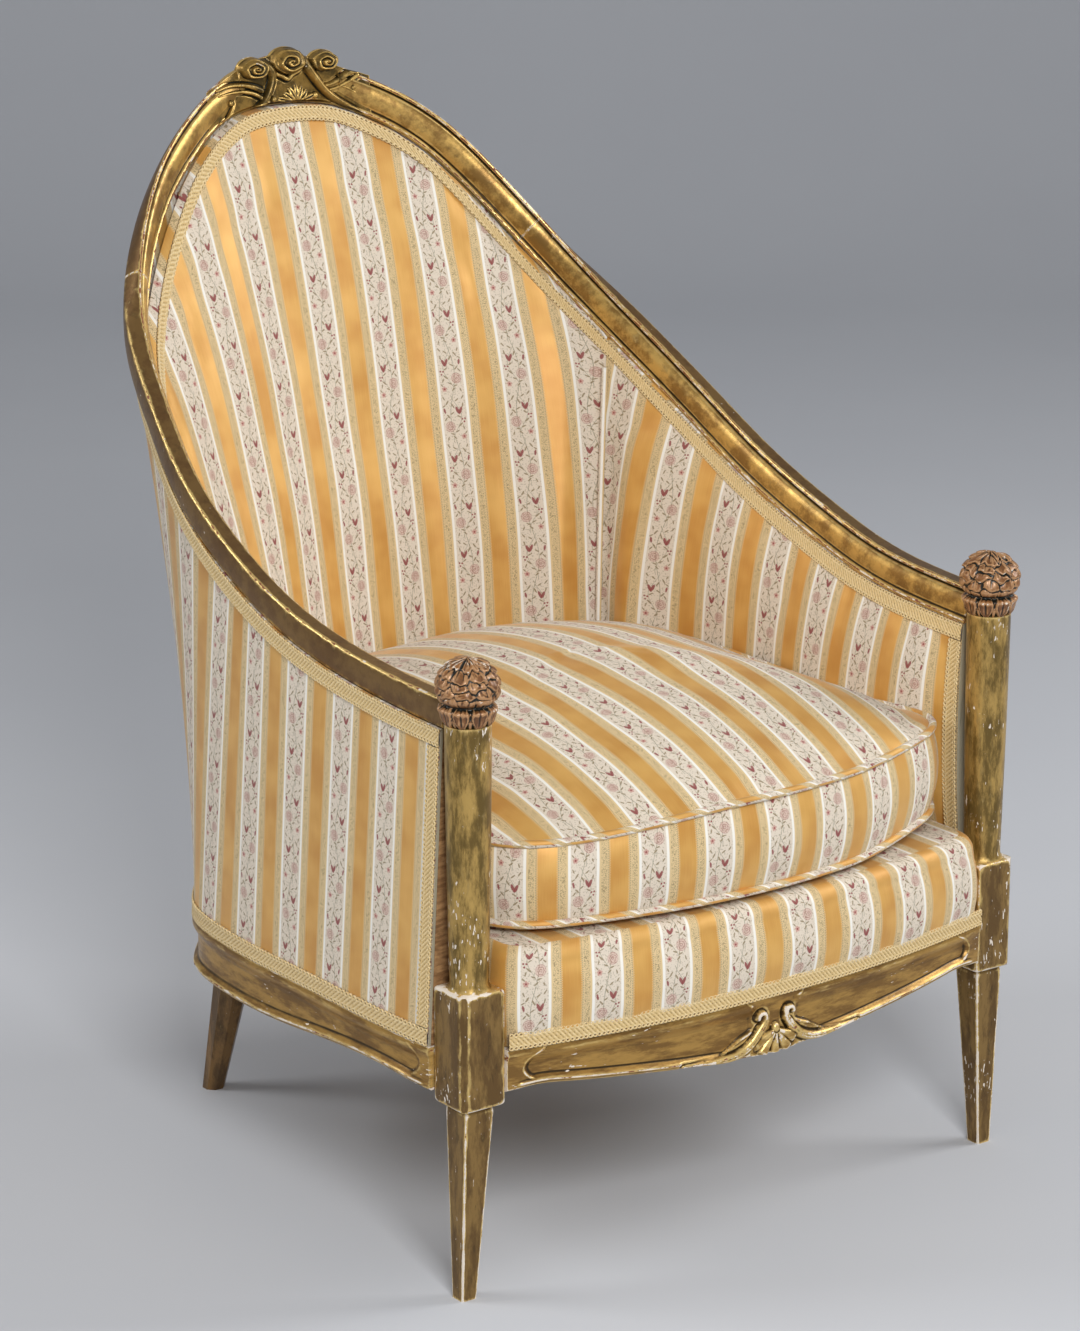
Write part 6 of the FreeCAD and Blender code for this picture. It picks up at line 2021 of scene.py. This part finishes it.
@dataclass
class SeatPlatform:
    """Stuffed seat platform with its upright striped border over the front rail."""

    lines: ChairLines
    finishes: Finishes
    shapes: SeatShapes
    height: float = 0.331
    bottom: float = 0.2444
    side_inset: float = 0.0585
    bulge: float = 0.005
    roll: float = 0.014
    side_run: float = 0.306
    back_inset: float = 0.047
    repeat: float = 0.0715
    stripe: float = -0.0420
    middle: tuple[float, float] = (0.0, -0.06)

    def build(self) -> None:
        """Build the platform: its border and top rings, scaled in towards the middle of the seat."""
        lines = self.lines
        half = lines.seat_half - self.side_inset
        front, corner = (float(lines.front_face(np.array(x))) for x in (0.0, half))
        outline = self.shapes.outline(half, front, corner, lines.seat_front + self.side_run,
                                      lines.seat_back - self.back_inset, 0.012)
        middle = np.array(self.middle)
        out = unit(outline - middle)
        share = np.linspace(0, 1, 34)[:, None]
        frontal = ease((-0.30 - outline[:, 1]) / 0.03)[None]
        low = between(self.bottom, lines.seat_top + lines.gap, frontal)
        rise = between(low, self.height - self.roll, share)
        belly = self.bulge * np.sin(math.pi * np.clip(share * 1.02, 0, 1)) ** 0.8 + 0 * rise
        wall = np.concatenate([outline[None] + out[None] * belly[..., None], rise[..., None]], -1)
        turn = np.linspace(0, math.pi / 2, 12)[1:, None]
        inset = self.roll * (1 - np.cos(turn))
        edge = np.concatenate([outline[None] - out[None] * inset[..., None],
                               np.broadcast_to((self.height - self.roll * (1 - np.sin(turn)))[..., None],
                                               (11, len(outline), 1))], -1)
        inward = np.linspace(0, 1, 24)[1:, None, None]
        flat = between(edge[-1][None], np.array([*middle, self.height])[None, None], inward)
        points = np.concatenate([wall, edge, flat])
        gone = self.shapes.travel(outline)
        across = (gone[None] - self.stripe) * SILK_REPEAT / self.repeat
        along = np.concatenate([rise[:, 0], edge[:, 0, 2] + np.linspace(0, 0.01, 11), np.full(23, np.nan)])
        cloth = np.stack([np.broadcast_to(across, points.shape[:2]),
                          np.broadcast_to(along[:, None], points.shape[:2])], -1)
        top = np.stack([(points[..., 0] - self.stripe) * SILK_REPEAT / self.repeat, points[..., 1]], -1)
        cloth = np.where(np.isnan(cloth), top, cloth)
        cloth[-23:] = top[-23:]
        patches = [Patch(points[:45], cloth[:45]), Patch(points[44:], top[44:]), cap(points[0])]
        piece = make_piece("seat_deck", patches, self.finishes.silk, Slot.FABRIC, replaces=["seat_deck"],
                           crease=None)
        Stuffing(limit=3 * MM).swell(piece, points[5:32].reshape(-1, 3))


@dataclass
class LooseCushion:
    """Boxed loose cushion: a full band between two piped welts, and a high crown."""

    lines: ChairLines
    finishes: Finishes
    shapes: SeatShapes
    side_inset: float = 0.0725
    front_setback: float = 0.032
    corner_setback: float = 0.086
    back_inset: float = 0.038
    reach: float = 0.050
    side_run: float = 0.306
    bottom: float = 0.3314
    low_welt: float = 0.3404
    top_welt: float = 0.4284
    top: float = 0.4994
    bulge: float = 0.008
    cord: float = 0.004
    repeat: float = 0.067
    origin: float = 0.010
    middle: tuple[float, float] = (0.0, -0.09)

    def _sag(self, points: Array) -> Array:
        """How far the upper welt hangs: most at the left front corner, and less than 0 at the right."""
        left = ease((-points[..., 0] - 0.02) / 0.20)
        front = ease((-points[..., 1] - 0.10) / 0.22)
        return 0.012 * left * front - 0.6 * self._lift(points)

    def _lift(self, points: Array) -> Array:
        """How far the lower welt turns up: only at the right front corner."""
        right = ease((points[..., 0] - 0.10) / 0.16)
        front = ease((-points[..., 1] - 0.18) / 0.16)
        return 0.014 * right * front

    def build(self) -> None:
        """Build the cushion and its two cords."""
        lines = self.lines
        half = lines.seat_half - self.side_inset
        front = self.front_setback - lines.depth / 2
        outline = self.shapes.outline(half, front, front + self.corner_setback - self.front_setback,
                                      lines.seat_front + self.side_run,
                                      lines.seat_back - self.back_inset, self.reach)
        middle = np.array(self.middle)
        out = unit(outline - middle)
        gone = self.shapes.travel(outline)
        sag = self._sag(outline)
        pleat = ripples(gone, 0 * gone, 0.12, 21)
        share = np.linspace(0, 1, 26)[:, None]
        tucks = ripples(gone, 0 * gone, 0.034, 41)
        gather = np.sin(math.pi * share) * (np.exp(-share / 0.25) + np.exp((share - 1) / 0.25))
        band = (self.bulge * np.sin(math.pi * share) ** 0.7 + 1.2 * MM * pleat[None] * np.sin(math.pi * share)
                + 2.8 * MM * tucks[None] * gather)
        lift = self._lift(outline)
        band_z = between((self.low_welt + lift)[None], (self.top_welt - sag)[None], share)
        wall = np.concatenate([outline[None] + out[None] * band[..., None], band_z[..., None]], -1)
        scale = (1 - np.linspace(0, 1, 64) ** 1.25)[1:, None]
        swollen = self.top - 7 * MM * (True)
        crown = self.top_welt - sag[None] * scale**0.5 + (swollen - self.top_welt) * (1 - scale**1.95)
        uneven = ripples(outline[None, :, 0] * scale, outline[None, :, 1] * scale, 0.13, 31)
        crown = crown + 2.2 * MM * uneven * (1 - scale) ** 0.5
        puckers = ripples(gone, 0 * gone, 0.040, 43)[None]
        crown = crown + 2.4 * MM * puckers * (1 - scale) * np.exp((scale - 1) / 0.09) * 4
        spokes = (outline - middle)[None]
        upper = np.concatenate([middle + spokes * scale[..., None], crown[..., None]], -1)
        upper[-1] = upper[-1].mean(0)
        under_scale = (1 - np.linspace(0, 1, 30) ** 1.3)[1:, None]
        under_z = self.low_welt - (self.low_welt - self.bottom) * ease((1 - under_scale) / 0.22)
        under_z = under_z + lift[None] * ease((under_scale - 0.55) / 0.45)
        lower = np.concatenate([middle + spokes * under_scale[..., None], under_z[..., None]], -1)
        lower[-1] = lower[-1].mean(0)
        upper = np.concatenate([wall[-1:], upper])
        lower = np.concatenate([wall[:1], lower])
        ratio = SILK_REPEAT / self.repeat
        side_cloth = np.stack(np.broadcast_arrays((gone[None] - self.origin) * ratio, wall[..., 2]), -1)
        flat = [np.stack([(grid[..., 0] - self.origin) * ratio, grid[..., 1]], -1) for grid in (upper, lower)]
        patches = [Patch(wall, side_cloth), Patch(upper, flat[0]), Patch(lower, flat[1])]
        cushion = make_piece("seat_cushion", patches, self.finishes.silk, Slot.FABRIC, Body.CUSHION,
                             replaces=["seat_cushion"], crease=None)
        free = np.concatenate([wall[3:-3].reshape(-1, 3), upper[3:].reshape(-1, 3)])
        Stuffing(limit=9 * MM, sideways=0.5).swell(cushion, free)
        for name, ring in (("cushion_cord_top", wall[-1]), ("cushion_cord_bottom", wall[0])):
            path = ring + np.concatenate([out * 0.6 * self.cord, 0 * out[:, :1]], 1)
            path[-1] = path[0]
            cord = tube(path, self.cord * 0.95, np.array([0.0, 0.0, 1.0]), 14, True)
            make_piece(name, cord, self.finishes.silk, Slot.PIPING, Body.CUSHION, replaces=[name],
                       crease=None)


@dataclass
class HiddenFrame:
    """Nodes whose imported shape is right, with finer materials."""

    nodes: dict[str, bpy.types.Object]
    finishes: Finishes

    def dress(self) -> None:
        """Give bare wood, webbing, hessian, screws and the rear legs their finishes."""
        paired = ("arm_stile", "back_upright", "arm_stay_rail", "corner_block")
        beech = [f"{stem}_{word}" for stem in paired for _, word in SIDES]
        groups = [(self.finishes.beech, beech + ["back_stay_rail", "rail_dowels"]),
                  (self.finishes.leg, ["rear_leg_left", "rear_leg_right"]),
                  (self.finishes.jute, ["seat_webbing", "back_webbing"]),
                  (self.finishes.hessian, ["seat_hessian", "arm_hessian_left", "arm_hessian_right"]),
                  (self.finishes.steel, ["frame_screws"])]
        for finish, names in groups:
            for name in names:
                slots = self.nodes[name].data.materials
                slots.clear()
                slots.append(finish)
                log.info("%s: %s", name, finish.name)


@dataclass
class Studio:
    """Pale floor, soft lamps and the camera."""

    eye: tuple[float, float, float] = (-2.3896, -3.2816, 1.6469)
    yaw: float = 36.4
    pitch: float = 16.3
    lens: float = 117.02
    floor_half: float = 9.0
    sensor: float = 36.0
    world_strength: float = 0.42
    aim: tuple[float, float, float] = (0.0, 0.0, 0.5)

    def _lamp(self, name: str, place: tuple[float, float, float], power: float, size: float) -> None:
        """Square lamp that points at the middle of the chair."""
        data = bpy.data.lights.new(name, "AREA")
        data.energy = power
        data.size = size
        lamp = bpy.data.objects.new(name, data)
        bpy.context.scene.collection.objects.link(lamp)
        lamp.location = place
        aim = np.array(self.aim) - np.array(place)
        lamp.rotation_euler = (math.atan2(math.hypot(aim[0], aim[1]), -aim[2]), 0,
                               math.atan2(aim[1], aim[0]) - math.pi / 2)

    def _floor(self) -> None:
        """Level floor that curves up into a wall behind the chair."""
        nodes = Nodes("pale_floor")
        mottle = nodes.noise(nodes.place(), 1.2, 3)
        colour = nodes.blend(mottle, from_srgb(196, 198, 203), from_srgb(204, 206, 210))
        nodes.shade(Base_Color=colour, Roughness=0.85)
        along = np.linspace(-self.floor_half, self.floor_half, 3)
        turn = np.linspace(0, math.pi / 2, 16)
        depth = np.concatenate([[-self.floor_half], 4 + 2 * np.sin(turn), [6.0]])
        height = np.concatenate([[0], 2 - 2 * np.cos(turn), [8.0]])
        yaw = -math.radians(self.yaw)
        across = np.array([math.cos(yaw), math.sin(yaw)])
        forward = np.array([-math.sin(yaw), math.cos(yaw)])
        flat = along[:, None, None] * across + depth[None, :, None] * forward
        points = np.concatenate([flat, np.broadcast_to(height[None, :, None], flat.shape[:2] + (1,))], -1)
        mesh = bpy.data.meshes.new("floor")
        faces = grid_faces(*points.shape[:2])
        mesh.from_pydata(points.reshape(-1, 3).tolist(), [], faces.tolist())
        mesh.polygons.foreach_set("use_smooth", np.ones(len(mesh.polygons), bool))
        mesh.materials.append(nodes.material)
        floor = bpy.data.objects.new("floor", mesh)
        bpy.context.scene.collection.objects.link(floor)
        floor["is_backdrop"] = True

    def build(self) -> None:
        """Build the floor, lamps, world light and camera."""
        self._floor()
        self._lamp("key_lamp", (-1.6, -3.4, 2.6), 115, 1.3)
        self._lamp("fill_lamp", (3.0, -1.4, 2.4), 60, 1.6)
        self._lamp("back_lamp", (-2.8, 1.6, 2.6), 42, 1.4)
        world = bpy.data.worlds.new("studio_world")
        world.use_nodes = True
        background = world.node_tree.nodes["Background"]
        background.inputs[0].default_value = from_srgb(206, 208, 212)
        background.inputs[1].default_value = self.world_strength
        scene = bpy.context.scene
        scene.world = world
        scene.view_settings.view_transform = "Standard"
        data = bpy.data.cameras.new("camera")
        data.lens = self.lens
        data.sensor_width = self.sensor
        camera = bpy.data.objects.new("camera", data)
        scene.collection.objects.link(camera)
        camera.location = self.eye
        camera.rotation_euler = (math.radians(90 - self.pitch), 0, -math.radians(self.yaw))
        scene.camera = camera


def corners(box: tuple) -> list[list[float]]:
    """Lowest and highest corner of a box as plain lists."""
    return [[float(value) for value in corner] for corner in box]


def main() -> None:
    """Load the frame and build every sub-assembly round it."""
    logging.basicConfig(level=logging.INFO, format="%(message)s")
    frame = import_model()
    cad_box = corners(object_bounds())
    finishes = Finishes()
    lines = ChairLines()
    shapes = SeatShapes()
    Studio().build()
    ShowRails(lines, finishes).build()
    CrestCarving(lines, finishes).build()
    Posts(lines, finishes).build()
    Finials(lines, finishes).build()
    SeatRails(lines, finishes).build()
    Upholstery(lines, finishes).build()
    SeatPlatform(lines, finishes, shapes).build()
    LooseCushion(lines, finishes, shapes).build()
    HiddenFrame(frame["nodes"], finishes).dress()
    json.dumps({"cad": cad_box, "visual": corners(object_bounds())})


if __name__ == "__main__":
    main()
